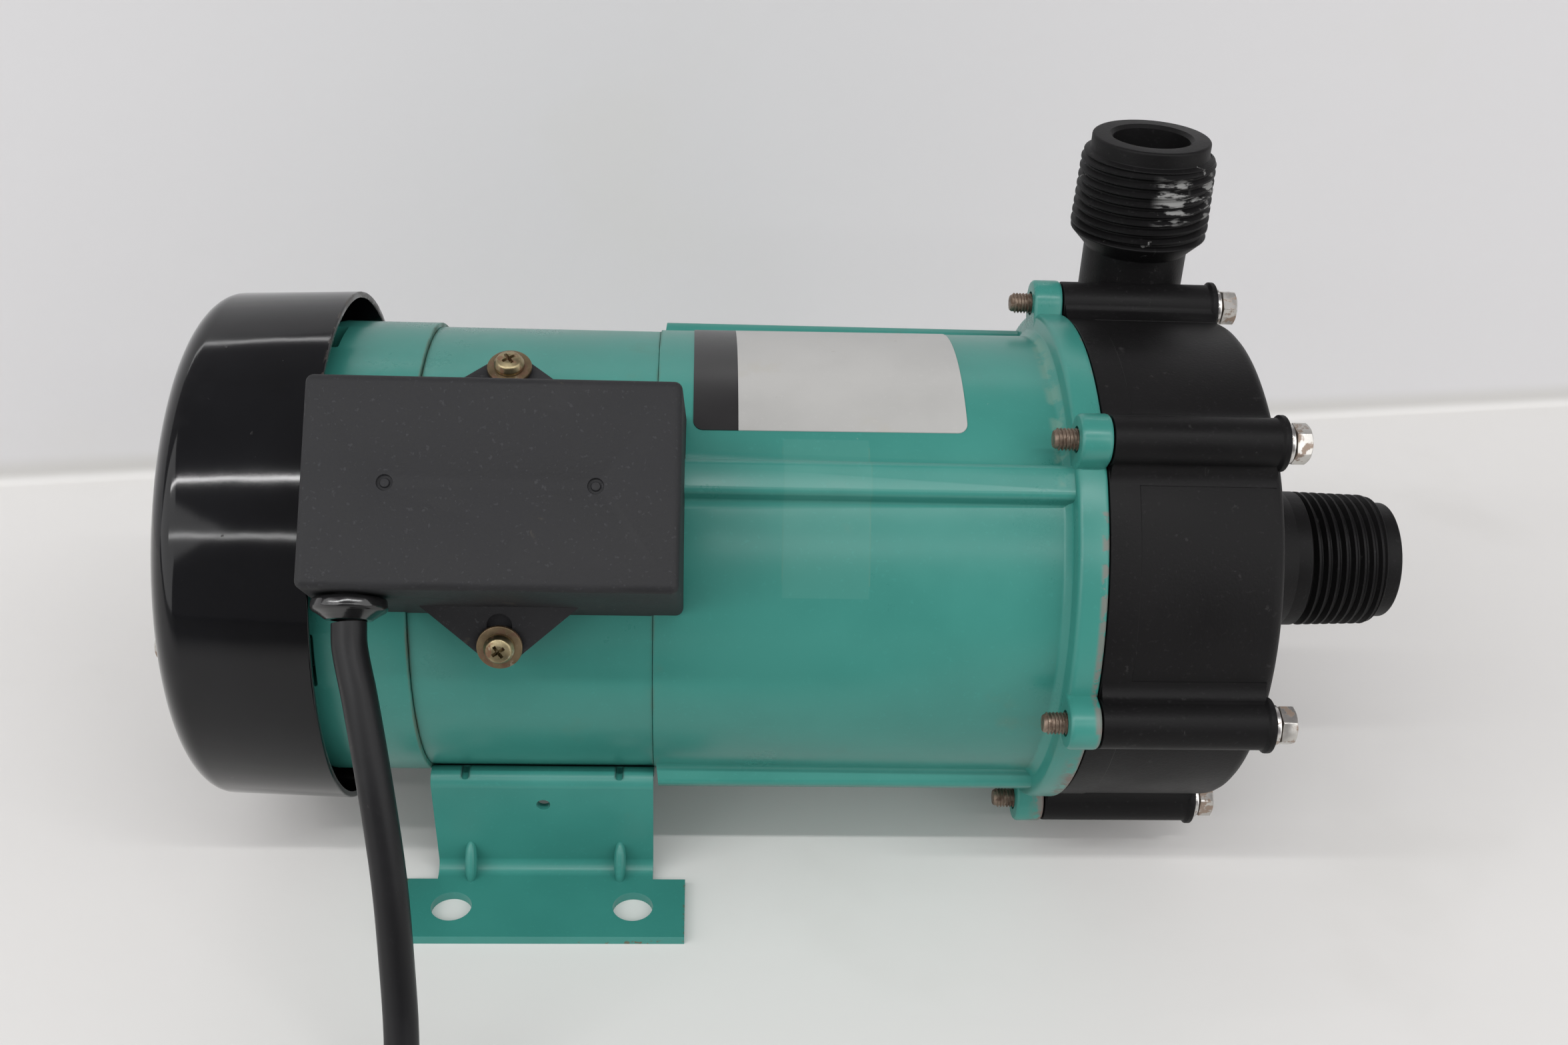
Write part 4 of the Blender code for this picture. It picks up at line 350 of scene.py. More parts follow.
CORD_RUBBER = Finish("cord_jacket", "black_rubber", (0.0090, 0.0090, 0.0100), 0.40, specular=0.25,
                     patch=0.14, speckle=0.12, grain=0.000010, grain_scale=1400.0, ripple=0.00002, marks=(
                         Mark((0.065, 0.062, 0.058), 0.55, 300.0, 0.68, 0.05, 0.5),
                         Mark((0.040, 0.040, 0.042), 0.48, 24.0, 0.55, 0.15, 0.4)))
BOLT_HEADS = Finish("stained_bolt", "steel", (0.560, 0.545, 0.515), 0.30, 1.0, patch=0.10, patch_scale=200.0,
                    grain=0.000012, marks=(
                        Mark((0.230, 0.140, 0.085), 0.60, 330.0, 0.50, 0.08, 0.75, metallic=0.4),
                        Mark((0.620, 0.610, 0.590), 0.22, 120.0, 0.60, 0.05, 0.6)))
BOLT_THREAD = Finish("browned_thread", "steel", (0.230, 0.175, 0.135), 0.48, 0.8, patch=0.25,
                     patch_scale=260.0, grain=0.000015, marks=(
                         Mark((0.090, 0.050, 0.030), 0.8, 500.0, 0.50, 0.10, 0.8, metallic=0.1),
                         Mark((0.420, 0.330, 0.260), 0.35, 700.0, 0.60, 0.06, 0.6)))
WASHER_STEEL = Finish("washer_steel", "steel", (0.600, 0.590, 0.570), 0.28, 1.0, patch=0.12,
                      patch_scale=240.0, grain=0.000010, marks=(
                          Mark((0.300, 0.190, 0.120), 0.6, 420.0, 0.58, 0.06, 0.6, metallic=0.5),))
SCREW_ZINC = Finish("yellow_zinc_head", "yellow_zinc", (0.310, 0.258, 0.150), 0.34, 1.0, patch=0.18,
                    patch_scale=260.0, grain=0.000010, marks=(
                        Mark((0.200, 0.085, 0.050), 0.55, 380.0, 0.52, 0.08, 0.7, metallic=0.6),
                        Mark((0.520, 0.480, 0.360), 0.30, 300.0, 0.64, 0.05, 0.6)))
WASHER_ZINC = Finish("yellow_zinc_washer", "yellow_zinc", (0.215, 0.160, 0.092), 0.42, 0.9, patch=0.2,
                     patch_scale=260.0, grain=0.000012, marks=(
                         Mark((0.150, 0.070, 0.046), 0.55, 340.0, 0.50, 0.10, 0.6, metallic=0.4),
                         Mark((0.420, 0.390, 0.300), 0.35, 420.0, 0.62, 0.05, 0.6)))
PLATE_FOIL = Finish("plate_foil", "", (0.430, 0.428, 0.414), 0.34, patch=0.05, speckle=0.02,
                    grain=0.000004, ripple=0.00004, marks=(
                        Mark((0.420, 0.405, 0.360), 0.5, 60.0, 0.58, 0.12, 0.45),
                        Mark((0.300, 0.280, 0.240), 0.6, 300.0, 0.70, 0.05, 0.5)))
BAND_INK = Finish("band_ink", "", (0.0160, 0.0155, 0.0160), 0.32, patch=0.12, grain=0.000004, marks=(
    Mark((0.180, 0.175, 0.170), 0.5, 240.0, 0.70, 0.04, 0.5),))
INNER_FINISHES = {
    "lamination": Finish("sheet_stack", "lamination", (0.300, 0.300, 0.310), 0.5, 1.0, patch=0.15,
                         grain=0.00003, ripple_scale=700.0, ripple=0.00002,
                         marks=(Mark(RUST, 0.8, 160.0, 0.62, 0.08, 0.5, metallic=0.2),)),
    "copper": Finish("enamelled_copper", "copper", (0.560, 0.225, 0.085), 0.34, 1.0, patch=0.2,
                     patch_scale=90.0, grain=0.00012, grain_scale=900.0,
                     marks=(Mark((0.200, 0.060, 0.020), 0.5, 300.0, 0.55, 0.1, 0.6),)),
    "aluminium": Finish("cast_aluminium", "aluminium", (0.620, 0.620, 0.630), 0.42, 1.0, grain=0.00003,
                        marks=(Mark((0.400, 0.400, 0.400), 0.6, 120.0, 0.60, 0.08, 0.5),)),
    "ferrite": Finish("dark_ferrite", "ferrite", (0.070, 0.070, 0.076), 0.52, patch=0.15, grain=0.00003,
                      marks=(Mark((0.140, 0.140, 0.145), 0.4, 240.0, 0.66, 0.05, 0.6),)),
    "white_ceramic": Finish("polished_ceramic", "white_ceramic", (0.800, 0.790, 0.750), 0.16, patch=0.04,
                            grain=0.000003, marks=(Mark((0.620, 0.600, 0.540), 0.3, 90.0, 0.60, 0.1, 0.4),)),
    "carbon": Finish("pressed_carbon", "carbon", (0.036, 0.036, 0.038), 0.42, patch=0.15, grain=0.00002,
                     marks=(Mark((0.090, 0.090, 0.092), 0.3, 200.0, 0.62, 0.06, 0.5),)),
    "brass": Finish("nickelled_brass", "brass", (0.700, 0.560, 0.300), 0.24, 1.0, patch=0.1, grain=0.000006,
                    marks=(Mark((0.330, 0.220, 0.090), 0.5, 260.0, 0.60, 0.08, 0.5),)),
    "steel": Finish("machined_steel", "steel", (0.520, 0.515, 0.500), 0.30, 1.0, patch=0.1, grain=0.00001,
                    marks=(Mark((0.260, 0.190, 0.140), 0.6, 150.0, 0.64, 0.08, 0.5, metallic=0.6),)),
    "black_plastic": Finish("inner_plastic", "black_plastic", (0.0300, 0.0295, 0.0300), 0.38, patch=0.12,
                            speckle=0.2, grain=0.00002,
                            marks=(Mark((0.075, 0.072, 0.068), 0.55, 180.0, 0.62, 0.08, 0.5),)),
    "black_rubber": Finish("seal_rubber", "black_rubber", (0.0150, 0.0150, 0.0155), 0.5, patch=0.15,
                           grain=0.00002, marks=(Mark((0.06, 0.06, 0.06), 0.6, 200.0, 0.62, 0.08, 0.5),)),
}


# Workshop: forms are bmeshes until they are made objects.
def softened(profile: Sequence[Corner], closed: bool, steps: int = 4) -> list[Pair]:
    """Rounds the corners of a flat profile.

    Args:
        profile: corners as (along, out) or (along, out, round).
        closed: whether the last corner joins the first.
        steps: how many stretches each round gets.

    Returns:
        The points of the rounded profile.
    """
    points: list[Pair] = []
    count = len(profile)
    for index, corner in enumerate(profile):
        here = Vector(corner[:2])
        size = corner[2] if len(corner) > 2 else 0.0
        if size <= 0.0 or (not closed and index in (0, count - 1)):
            points.append((here.x, here.y))
            continue
        before = (Vector(profile[index - 1][:2]) - here).normalized()
        after = (Vector(profile[(index + 1) % count][:2]) - here).normalized()
        half = 0.5 * before.angle(after)
        middle = here + (before + after).normalized() * (size / math.sin(half))
        first = here + before * (size / math.tan(half)) - middle
        last = here + after * (size / math.tan(half)) - middle
        for step in range(steps + 1):
            arm = first.slerp(last, step / steps).normalized() * size
            points.append((middle.x + arm.x, middle.y + arm.y))
    return points


def turned(profile: Sequence[Corner], facets: int = 96, place: Matrix = SHAFT,
           steps: int = 4) -> bmesh.types.BMesh:
    """Turns a profile of (along, radius, round) corners into a closed form.

    Args:
        profile: the corners, which end on the axis for a solid form and anywhere else for a ring.
        facets: how many facets go round.
        place: where the form's Z axis goes.
        steps: how many stretches each round gets.

    Returns:
        The form.
    """
    ring = profile[0][1] > 0.0 or profile[-1][1] > 0.0
    points = softened(profile, ring, steps)
    form = bmesh.new()
    verts = [form.verts.new((radius, 0.0, along)) for along, radius in points]
    edges = [form.edges.new(pair) for pair in zip(verts, verts[1:])]
    if ring:
        edges.append(form.edges.new((verts[-1], verts[0])))
    bmesh.ops.spin(form, geom=verts + edges, cent=(0.0, 0.0, 0.0), axis=(0.0, 0.0, 1.0), angle=2.0 * math.pi,
                   steps=facets, use_merge=True)
    bmesh.ops.remove_doubles(form, verts=form.verts[:], dist=0.000002)
    loose = [edge for edge in form.edges if not edge.link_faces]
    bmesh.ops.delete(form, geom=loose, context="EDGES")
    bmesh.ops.recalc_face_normals(form, faces=form.faces[:])
    bmesh.ops.transform(form, matrix=place, verts=form.verts[:])
    return form


def block(size: Corner, place: Matrix, round_off: float = 0.0, segments: int = 3) -> bmesh.types.BMesh:
    """A block round the origin of a place, with rounded edges where a round is given."""
    form = bmesh.new()
    bmesh.ops.create_cube(form, size=1.0, matrix=Matrix.Diagonal((*size, 1.0)))
    if round_off:
        bmesh.ops.bevel(form, geom=form.edges[:], offset=round_off, segments=segments, profile=0.5,
                        affect="EDGES", material=-1)
    bmesh.ops.transform(form, matrix=place, verts=form.verts[:])
    return form


def rod(radius: float, low: float, high: float, place: Matrix, facets: int = 32,
        top_radius: float | None = None) -> bmesh.types.BMesh:
    """A rod along the Z axis of a place, which may taper."""
    form = bmesh.new()
    end = radius if top_radius is None else top_radius
    bmesh.ops.create_cone(form, cap_ends=True, segments=facets, radius1=radius, radius2=end, depth=high - low,
                          matrix=place @ Matrix.Translation((0.0, 0.0, 0.5 * (low + high))))
    return form


def pushed(outline: Sequence[Corner], reach: Corner) -> bmesh.types.BMesh:
    """Pushes a flat outline out into a closed form."""
    form = bmesh.new()
    face = form.faces.new([form.verts.new(corner) for corner in outline])
    grown = bmesh.ops.extrude_face_region(form, geom=[face])
    moved = [item for item in grown["geom"] if isinstance(item, bmesh.types.BMVert)]
    bmesh.ops.translate(form, vec=reach, verts=moved)
    bmesh.ops.recalc_face_normals(form, faces=form.faces[:])
    return form


def drawn(line: Sequence[Corner], length: float) -> bmesh.types.BMesh:
    """Draws an open line out along X into a sheet without thickness."""
    form = bmesh.new()
    verts = [form.verts.new(point) for point in line]
    edges = [form.edges.new(pair) for pair in zip(verts, verts[1:])]
    grown = bmesh.ops.extrude_edge_only(form, edges=edges)
    moved = [item for item in grown["geom"] if isinstance(item, bmesh.types.BMVert)]
    bmesh.ops.translate(form, vec=(length, 0.0, 0.0), verts=moved)
    return form


def gathered(forms: Sequence[bmesh.types.BMesh]) -> bmesh.types.BMesh:
    """Puts several forms in one, without joining them."""
    whole = bmesh.new()
    for form in forms:
        mesh = bpy.data.meshes.new("gathered")
        form.to_mesh(mesh)
        form.free()
        whole.from_mesh(mesh)
        bpy.data.meshes.remove(mesh)
    return whole


def hulled(*forms: bmesh.types.BMesh) -> bmesh.types.BMesh:
    """Wraps several forms in the tightest skin without hollows."""
    whole = gathered(forms)
    bmesh.ops.delete(whole, geom=whole.edges[:], context="EDGES_FACES")
    hull = bmesh.ops.convex_hull(whole, input=whole.verts[:])
    spare = {item for item in [*hull["geom_interior"], *hull["geom_unused"]]
             if isinstance(item, bmesh.types.BMVert)}
    bmesh.ops.delete(whole, geom=list(spare), context="VERTS")
    bmesh.ops.dissolve_limit(whole, angle_limit=0.002, verts=whole.verts[:], edges=whole.edges[:])
    bmesh.ops.recalc_face_normals(whole, faces=whole.faces[:])
    return whole


def made(name: str, form: bmesh.types.BMesh) -> bpy.types.Object:
    """Makes an object of a form and frees the form."""
    mesh = bpy.data.meshes.new(name)
    form.to_mesh(mesh)
    form.free()
    piece = bpy.data.objects.new(name, mesh)
    bpy.context.scene.collection.objects.link(piece)
    return piece


def baked(piece: bpy.types.Object) -> bpy.types.Object:
    """Applies a piece's modifiers to its mesh."""
    shape = piece.evaluated_get(bpy.context.evaluated_depsgraph_get())
    mesh = bpy.data.meshes.new_from_object(shape)
    old = piece.data
    piece.modifiers.clear()
    piece.data = mesh
    bpy.data.meshes.remove(old)
    return piece


def worked(piece: bpy.types.Object, *forms: bmesh.types.BMesh,
           operation: str = "DIFFERENCE") -> bpy.types.Object:
    """Cuts forms out of a piece, or joins them to it.

    Args:
        piece: the object whose mesh is worked.
        forms: the forms, one after another.
        operation: DIFFERENCE, UNION or INTERSECT.

    Returns:
        The piece.
    """
    tools = []
    for index, form in enumerate(forms):
        tool = made(f"tool_{index}", form)
        step = piece.modifiers.new(tool.name, "BOOLEAN")
        step.operation = operation
        step.solver = "EXACT"
        step.object = tool
        tools.append(tool)
    baked(piece)
    for tool in tools:
        mesh = tool.data
        bpy.data.objects.remove(tool, do_unlink=True)
        bpy.data.meshes.remove(mesh)
    return piece


def joined(piece: bpy.types.Object, *forms: bmesh.types.BMesh) -> bpy.types.Object:
    """Joins forms to a piece in one skin."""
    return worked(piece, *forms, operation="UNION")


def added(piece: bpy.types.Object, *forms: bmesh.types.BMesh) -> bpy.types.Object:
    """Adds closed forms to a piece's mesh, each as a skin of its own."""
    whole = bmesh.new()
    whole.from_mesh(piece.data)
    for form in forms:
        mesh = bpy.data.meshes.new("added")
        form.to_mesh(mesh)
        form.free()
        whole.from_mesh(mesh)
        bpy.data.meshes.remove(mesh)
    whole.to_mesh(piece.data)
    whole.free()
    return piece


def eased(piece: bpy.types.Object, width: float, segments: int = 2,
          degrees: float = 35.0) -> bpy.types.Object:
    """Rounds a piece's sharp edges."""
    step = piece.modifiers.new("Ease", "BEVEL")
    step.width = width
    step.segments = segments
    step.limit_method = "ANGLE"
    step.angle_limit = math.radians(degrees)
    step.use_clamp_overlap = True
    return baked(piece)


def around(station: float, circle: float, degrees: float) -> Vector:
    """A point round the shaft: 0 degrees faces -Y and 90 degrees faces up."""
    turn = math.radians(degrees)
    return Vector((station, SHAFT_Y - circle * math.cos(turn), SHAFT_Z + circle * math.sin(turn)))


def outward(degrees: float) -> Matrix:
    """A place on the shaft whose Z axis points away from it at that angle and whose X axis is the shaft."""
    return Matrix.Translation((0.0, SHAFT_Y, SHAFT_Z)) @ Matrix.Rotation(math.radians(90.0 - degrees), 4, "X")


def dress(piece: bpy.types.Object, finish: Finish, body: Body, nodes: Sequence[str] = (),
          sharp: float = 32.0) -> bpy.types.Object:
    """Gives a piece its finish, its body and the nodes that it stands for.

    Args:
        piece: the finished piece.
        finish: its finish.
        body: the body that it moves with.
        nodes: the frame's nodes that it replaces.
        sharp: the angle past which an edge stays sharp, in degrees.

    Returns:
        The piece.
    """
    if piece.type == "MESH":
        piece.data.shade_smooth()
        piece.data.set_sharp_from_angle(angle=math.radians(sharp))
    piece.data.materials.clear()
    piece.data.materials.append(finish.material())
    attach(piece, body.value)
    if nodes:
        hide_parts(*nodes)
    LOG.info("%s rides on %s", piece.name, body.value)
    return piece


def ridge(pitch: float, turns: float, root: float, crest: float, taper: float, start: float,
          place: Matrix, per_turn: int = 64) -> bmesh.types.BMesh:
    """A screw thread's ridge, whose foot is sunk in the core that carries it.

    Args:
        pitch: the rise of one turn.
        turns: how many turns it has.
        root: the core's radius.
        crest: the radius at the crest where the thread starts.
        taper: how much smaller the crest is at the thread's end.
        start: the height at which it starts.
        place: where its axis goes.
        per_turn: how many facets one turn has.

    Returns:
        The ridge as one closed form.
    """
    form = bmesh.new()
    foot, top = 0.5 * pitch, 0.11 * pitch
    corners = [(root - 0.0003, -foot), (crest, -top), (crest, top), (root - 0.0003, foot)]
    verts = [form.verts.new((radius, 0.0, start + height)) for radius, height in corners]
    face = form.faces.new(verts)
    steps = int(per_turn * turns)
    angle = 2.0 * math.pi * turns
    bmesh.ops.spin(form, geom=[face], cent=(0.0, 0.0, 0.0), axis=(0.0, 0.0, 1.0),
                   dvec=(0.0, 0.0, pitch * turns / steps), angle=angle, steps=steps, use_merge=False)
    length = pitch * turns
    for vert in form.verts:
        radius = math.hypot(vert.co.x, vert.co.y)
        if radius < root:
            continue
        share = min(max((vert.co.z - start) / length, 0.0), 1.0)
        ease = min(1.0, share * turns / 0.3, (1.0 - share) * turns / 0.3)
        wanted = (root - 0.0002) + (crest - taper * share - root + 0.0002) * max(ease, 0.02)
        vert.co.x *= wanted / radius
        vert.co.y *= wanted / radius
    bmesh.ops.remove_doubles(form, verts=form.verts[:], dist=0.0000005)
    bmesh.ops.recalc_face_normals(form, faces=form.faces[:])
    bmesh.ops.transform(form, matrix=place, verts=form.verts[:])
    return form


def slot_form(length: float, width: float, depth: float, place: Matrix) -> bmesh.types.BMesh:
    """A slot with round ends along the X axis of a place."""
    form = bmesh.new()
    bmesh.ops.create_cone(form, cap_ends=True, segments=24, radius1=0.5 * width, radius2=0.5 * width,
                          depth=depth)
    reach = 0.5 * (length - width)
    for vert in form.verts:
        if abs(vert.co.x) > 0.00001:
            vert.co.x += math.copysign(reach, vert.co.x)
    bmesh.ops.transform(form, matrix=place, verts=form.verts[:])
    return form


@dataclass(frozen=True)
class PanScrew:
    """A pan head screw with a cross recess."""

    head: float = 0.0033
    height: float = 0.0022
    shank: float = 0.0019
    length: float = 0.0100

    def build(self, name: str, place: Matrix, finish: Finish, node: str) -> bpy.types.Object:
        """Makes the screw with its seat at the origin of a place and its head along Z."""
        body = turned([(-self.length, 0.0), (-self.length, self.shank, 0.0003), (0.0, self.shank),
                       (0.0, self.head, 0.0002), (0.35 * self.height, self.head, 0.0002),
                       (0.80 * self.height, 0.80 * self.head, 0.0008),
                       (self.height, 0.40 * self.head, 0.0010), (self.height, 0.0)], 40, Matrix.Identity(4))
        piece = made(name, body)
        for turn in (35.0, 125.0):
            wing = bmesh.new()
            bmesh.ops.create_cube(wing, size=1.0)
            for vert in wing.verts:
                wide = 1.0 if vert.co.z > 0.0 else 0.45
                vert.co.x *= 1.05 * self.head * wide
                vert.co.y *= 0.24 * self.head * (1.0 if vert.co.z > 0.0 else 0.7)
                vert.co.z = 1.1 * self.height if vert.co.z > 0.0 else 0.35 * self.height
            bmesh.ops.rotate(wing, cent=(0.0, 0.0, 0.0), matrix=Matrix.Rotation(math.radians(turn), 3, "Z"),
                             verts=wing.verts[:])
            worked(piece, wing)
        eased(piece, 0.00007, 1, 50.0)
        piece.data.transform(place)
        return dress(piece, finish, Body.PUMP, [node], 40.0)


@dataclass(frozen=True)
class FanCowl:
    """The pressed cover over the fan with its grille, and its screws."""

    mouth: float = -0.1089
    back: float = -0.1446
    radius: float = 0.0621
    back_radius: float = 0.0611
    corner: float = 0.0130
    corner_depth: float = 0.0080
    sheet: float = 0.0015
    slots: int = 14
    slot_width: float = 0.0030
    slot_reach: Pair = (0.0120, 0.0350)
    slot_phase: float = 10.0
    screw_circle: float = 0.0450
    screws: int = 4

    def curve(self, inset: float) -> list[Pair]:
        """The rounded edge between the cover's side and its back, from the side to the back."""
        points = []
        for index in range(13):
            turn = math.radians(90.0 * index / 12)
            points.append((self.back + inset + (self.corner_depth - 0.5 * inset) * (1.0 - math.sin(turn)),
                           self.back_radius - inset - (self.corner - 0.5 * inset) * (1.0 - math.cos(turn))))
        return points

    def build(self) -> None:
        """Makes the cover and the screws that hold it."""
        profile: list[Corner] = [(self.back + self.sheet, 0.0), *self.curve(self.sheet)[::-1]]
        profile += [(self.mouth, self.radius - self.sheet, 0.0004), (self.mouth, self.radius, 0.0004)]
        profile += [*self.curve(0.0), (self.back, 0.0)]
        cover = made("fan_cowl", turned(profile, 128, SHAFT, 3))
        length = self.slot_reach[1] - self.slot_reach[0]
        cuts = []
        for index in range(self.slots):
            turn = Matrix.Rotation(math.radians(360.0 * index / self.slots + self.slot_phase), 4, "Z")
            middle = Matrix.Translation((self.slot_reach[0] + 0.5 * length, 0.0, self.back))
            cuts.append(slot_form(length, self.slot_width, 0.01, SHAFT @ turn @ middle))
        worked(cover, gathered(cuts))
        dress(cover, COVER_ENAMEL, Body.PUMP, ["fan_cover"])
        screw = PanScrew(0.0036, 0.0022, 0.0020, 0.0108)
        for index in range(self.screws):
            spot = around(self.back - 0.0001, self.screw_circle, 360.0 * index / self.screws)
            place = Matrix.Translation(spot) @ Matrix.Rotation(math.radians(-90.0), 4, "Y")
            screw.build(f"cowl_screw_{index + 1}", place, BOLT_HEADS, f"cover_screw_{index + 1}")


@dataclass(frozen=True)
class MotorHousing:
    """The stator shell and the rear end bell with its posts and air openings."""

    shell_radius: float = 0.0540
    shell_wall: float = 0.0030
    bell_radius: float = 0.0550
    bell_length: float = 0.0258
    end_wall: float = 0.0035
    spigot: float = 0.0032
    spigot_wall: float = 0.0028
    bearing: float = 0.0163
    housing_depth: float = 0.0130
    housing_wall: float = 0.0042
    shaft_hole: float = 0.0080
    post_circle: float = 0.0450
    post_radius: float = 0.0034
    post_end: float = -0.1428
    posts: int = 4
    opening: Pair = (-0.1135, -0.1098)
    opening_width: float = 0.0134
    opening_turn: float = 3.0
    seam_round: float = 0.00018

    def build(self) -> None:
        """Makes the shell and the bell."""
        inner = self.shell_radius - self.shell_wall
        shell = made("motor_shell", turned([
            (FRONT_SEAM - FRONT_GAP, self.shell_radius, self.seam_round),
            (REAR_SEAM + REAR_GAP, self.shell_radius, self.seam_round),
            (REAR_SEAM + REAR_GAP, inner), (FRONT_SEAM - FRONT_GAP, inner)], 128))
        dress(shell, MOTOR_PAINT, Body.PUMP, ["stator_shell"])
        back = REAR_SEAM - self.bell_length
        front = back + self.end_wall
        fit = inner - CLEAR
        bore = fit - self.spigot_wall
        housing = self.bearing + self.housing_wall
        bell = made("rear_bell", turned([
            (REAR_SEAM - REAR_GAP, self.bell_radius, self.seam_round), (back, self.bell_radius, 0.0030),
            (back, self.shaft_hole), (front, self.shaft_hole), (front, self.bearing),
            (back + self.housing_depth, self.bearing), (back + self.housing_depth, housing, 0.0006),
            (front, housing, 0.0010), (front, bore, 0.0010), (REAR_SEAM + self.spigot, bore),
            (REAR_SEAM + self.spigot, fit), (REAR_SEAM - REAR_GAP, fit)], 128))
        posts = []
        cuts = []
        size = (self.opening[1] - self.opening[0], self.opening_width, 0.0107)
        middle = Matrix.Translation((0.5 * (self.opening[0] + self.opening[1]), 0.0, 0.0515))
        for index in range(self.posts):
            degrees = 360.0 / self.posts * index
            place = Matrix.Translation(around(0.0, self.post_circle, degrees)) @ ALONG_X
            posts.append(rod(self.post_radius, self.post_end, front - 0.0010, place, 24))
            cuts.append(block(size, outward(degrees + self.opening_turn) @ middle, 0.0006, 2))
        joined(bell, gathered(posts))
        worked(bell, gathered(cuts))
        dress(bell, MOTOR_PAINT, Body.PUMP, ["motor_end_bell"])


@dataclass(frozen=True)
class BoltRing:
    """The ring of bolts that holds the casing to the bracket, with its lock washers."""

    count: int = 6
    phase: float = -5.4
    circle: float = 0.0632
    boss_end: float = 0.1017
    washer: float = 0.0013
    washer_radius: float = 0.0046
    across: float = 0.0080
    head: float = 0.0035
    length: float = 0.0532
    radius: float = 0.0025
    core: float = 0.0021
    pitch: float = 0.0008
    thread: float = 0.0170
    head_turns: tuple[float, ...] = (17.0, 4.0, 41.0, 23.0, 52.0, 30.0)

    def degrees(self, index: int) -> float:
        """Where a bolt stands round the shaft."""
        return self.phase + 360.0 * index / self.count

    def head_form(self) -> bpy.types.Object:
        """A hexagon head whose corners are turned off, standing on z = 0."""
        corner = self.across / math.sqrt(3.0)
        piece = made("hex_head", rod(corner, 0.0, self.head, Matrix.Identity(4), 6))
        top = turned([(0.0, 0.0), (0.0, corner + 0.0002), (self.head - 0.0006, corner + 0.0002),
                      (self.head, 0.5 * self.across - 0.0001), (self.head, 0.0)], 60, Matrix.Identity(4))
        worked(piece, top, operation="INTERSECT")
        return eased(piece, 0.00012, 1, 25.0)

    def build(self) -> None:
        """Makes the bolts and their washers."""
        head = self.head_form()
        start = CLEAR + self.washer + CLEAR
        tip = start - self.length
        for index in range(self.count):
            spin = Matrix.Rotation(math.radians(self.head_turns[index]), 4, "Z")
            place = Matrix.Translation(around(self.boss_end, self.circle, self.degrees(index))) @ ALONG_X
            top = bmesh.new()
            top.from_mesh(head.data)
            bmesh.ops.transform(top, matrix=Matrix.Translation((0.0, 0.0, start)) @ spin, verts=top.verts[:])
            shank = turned([(tip, 0.0), (tip, self.core - 0.0003, 0.0002), (tip + 0.0005, self.core),
                            (tip + self.thread, self.core), (tip + self.thread + 0.0005, self.radius),
                            (start + 0.0005, self.radius), (start + 0.0005, 0.0)], 24, Matrix.Identity(4), 2)
            turns = (self.thread - 0.0004) / self.pitch
            spiral = ridge(self.pitch, turns, self.core, self.radius, 0.0, tip + 0.0006,
                           Matrix.Identity(4), 16)
            bolt = made(f"casing_hex_bolt_{index + 1}", top)
            added(bolt, shank, spiral)
            bolt.data.transform(place)
            dress(bolt, BOLT_HEADS, Body.PUMP, [f"casing_bolt_{index + 1}"], 30.0)
            bolt.data.materials.append(BOLT_THREAD.material())
            for face in bolt.data.polygons:
                face.material_index = 0 if face.center.x > self.boss_end + start - 0.0001 else 1
            self.washer_piece(index, place)
        mesh = head.data
        bpy.data.objects.remove(head, do_unlink=True)
        bpy.data.meshes.remove(mesh)

    def washer_piece(self, index: int, place: Matrix) -> None:
        """Makes a spring washer: a square wire wound once, with its ends a little apart."""
        form = bmesh.new()
        inner = self.radius + CLEAR
        low = CLEAR + 0.0001
        high = CLEAR + self.washer - 0.0003
        corners = [(inner, low), (self.washer_radius, low), (self.washer_radius, high), (inner, high)]
        face = form.faces.new([form.verts.new((radius, 0.0, height)) for radius, height in corners])
        bmesh.ops.spin(form, geom=[face], cent=(0.0, 0.0, 0.0), axis=(0.0, 0.0, 1.0),
                       dvec=(0.0, 0.0, 0.0002 / 44), angle=math.radians(346.0), steps=44, use_merge=False)
        bmesh.ops.recalc_face_normals(form, faces=form.faces[:])
        turn = Matrix.Rotation(math.radians(75.0 * index + 40.0), 4, "Z")
        bmesh.ops.transform(form, matrix=place @ turn, verts=form.verts[:])
        washer = eased(made(f"spring_washer_{index + 1}", form), 0.00012, 2, 40.0)
        dress(washer, WASHER_STEEL, Body.PUMP, [f"lock_washer_{index + 1}"], 40.0)


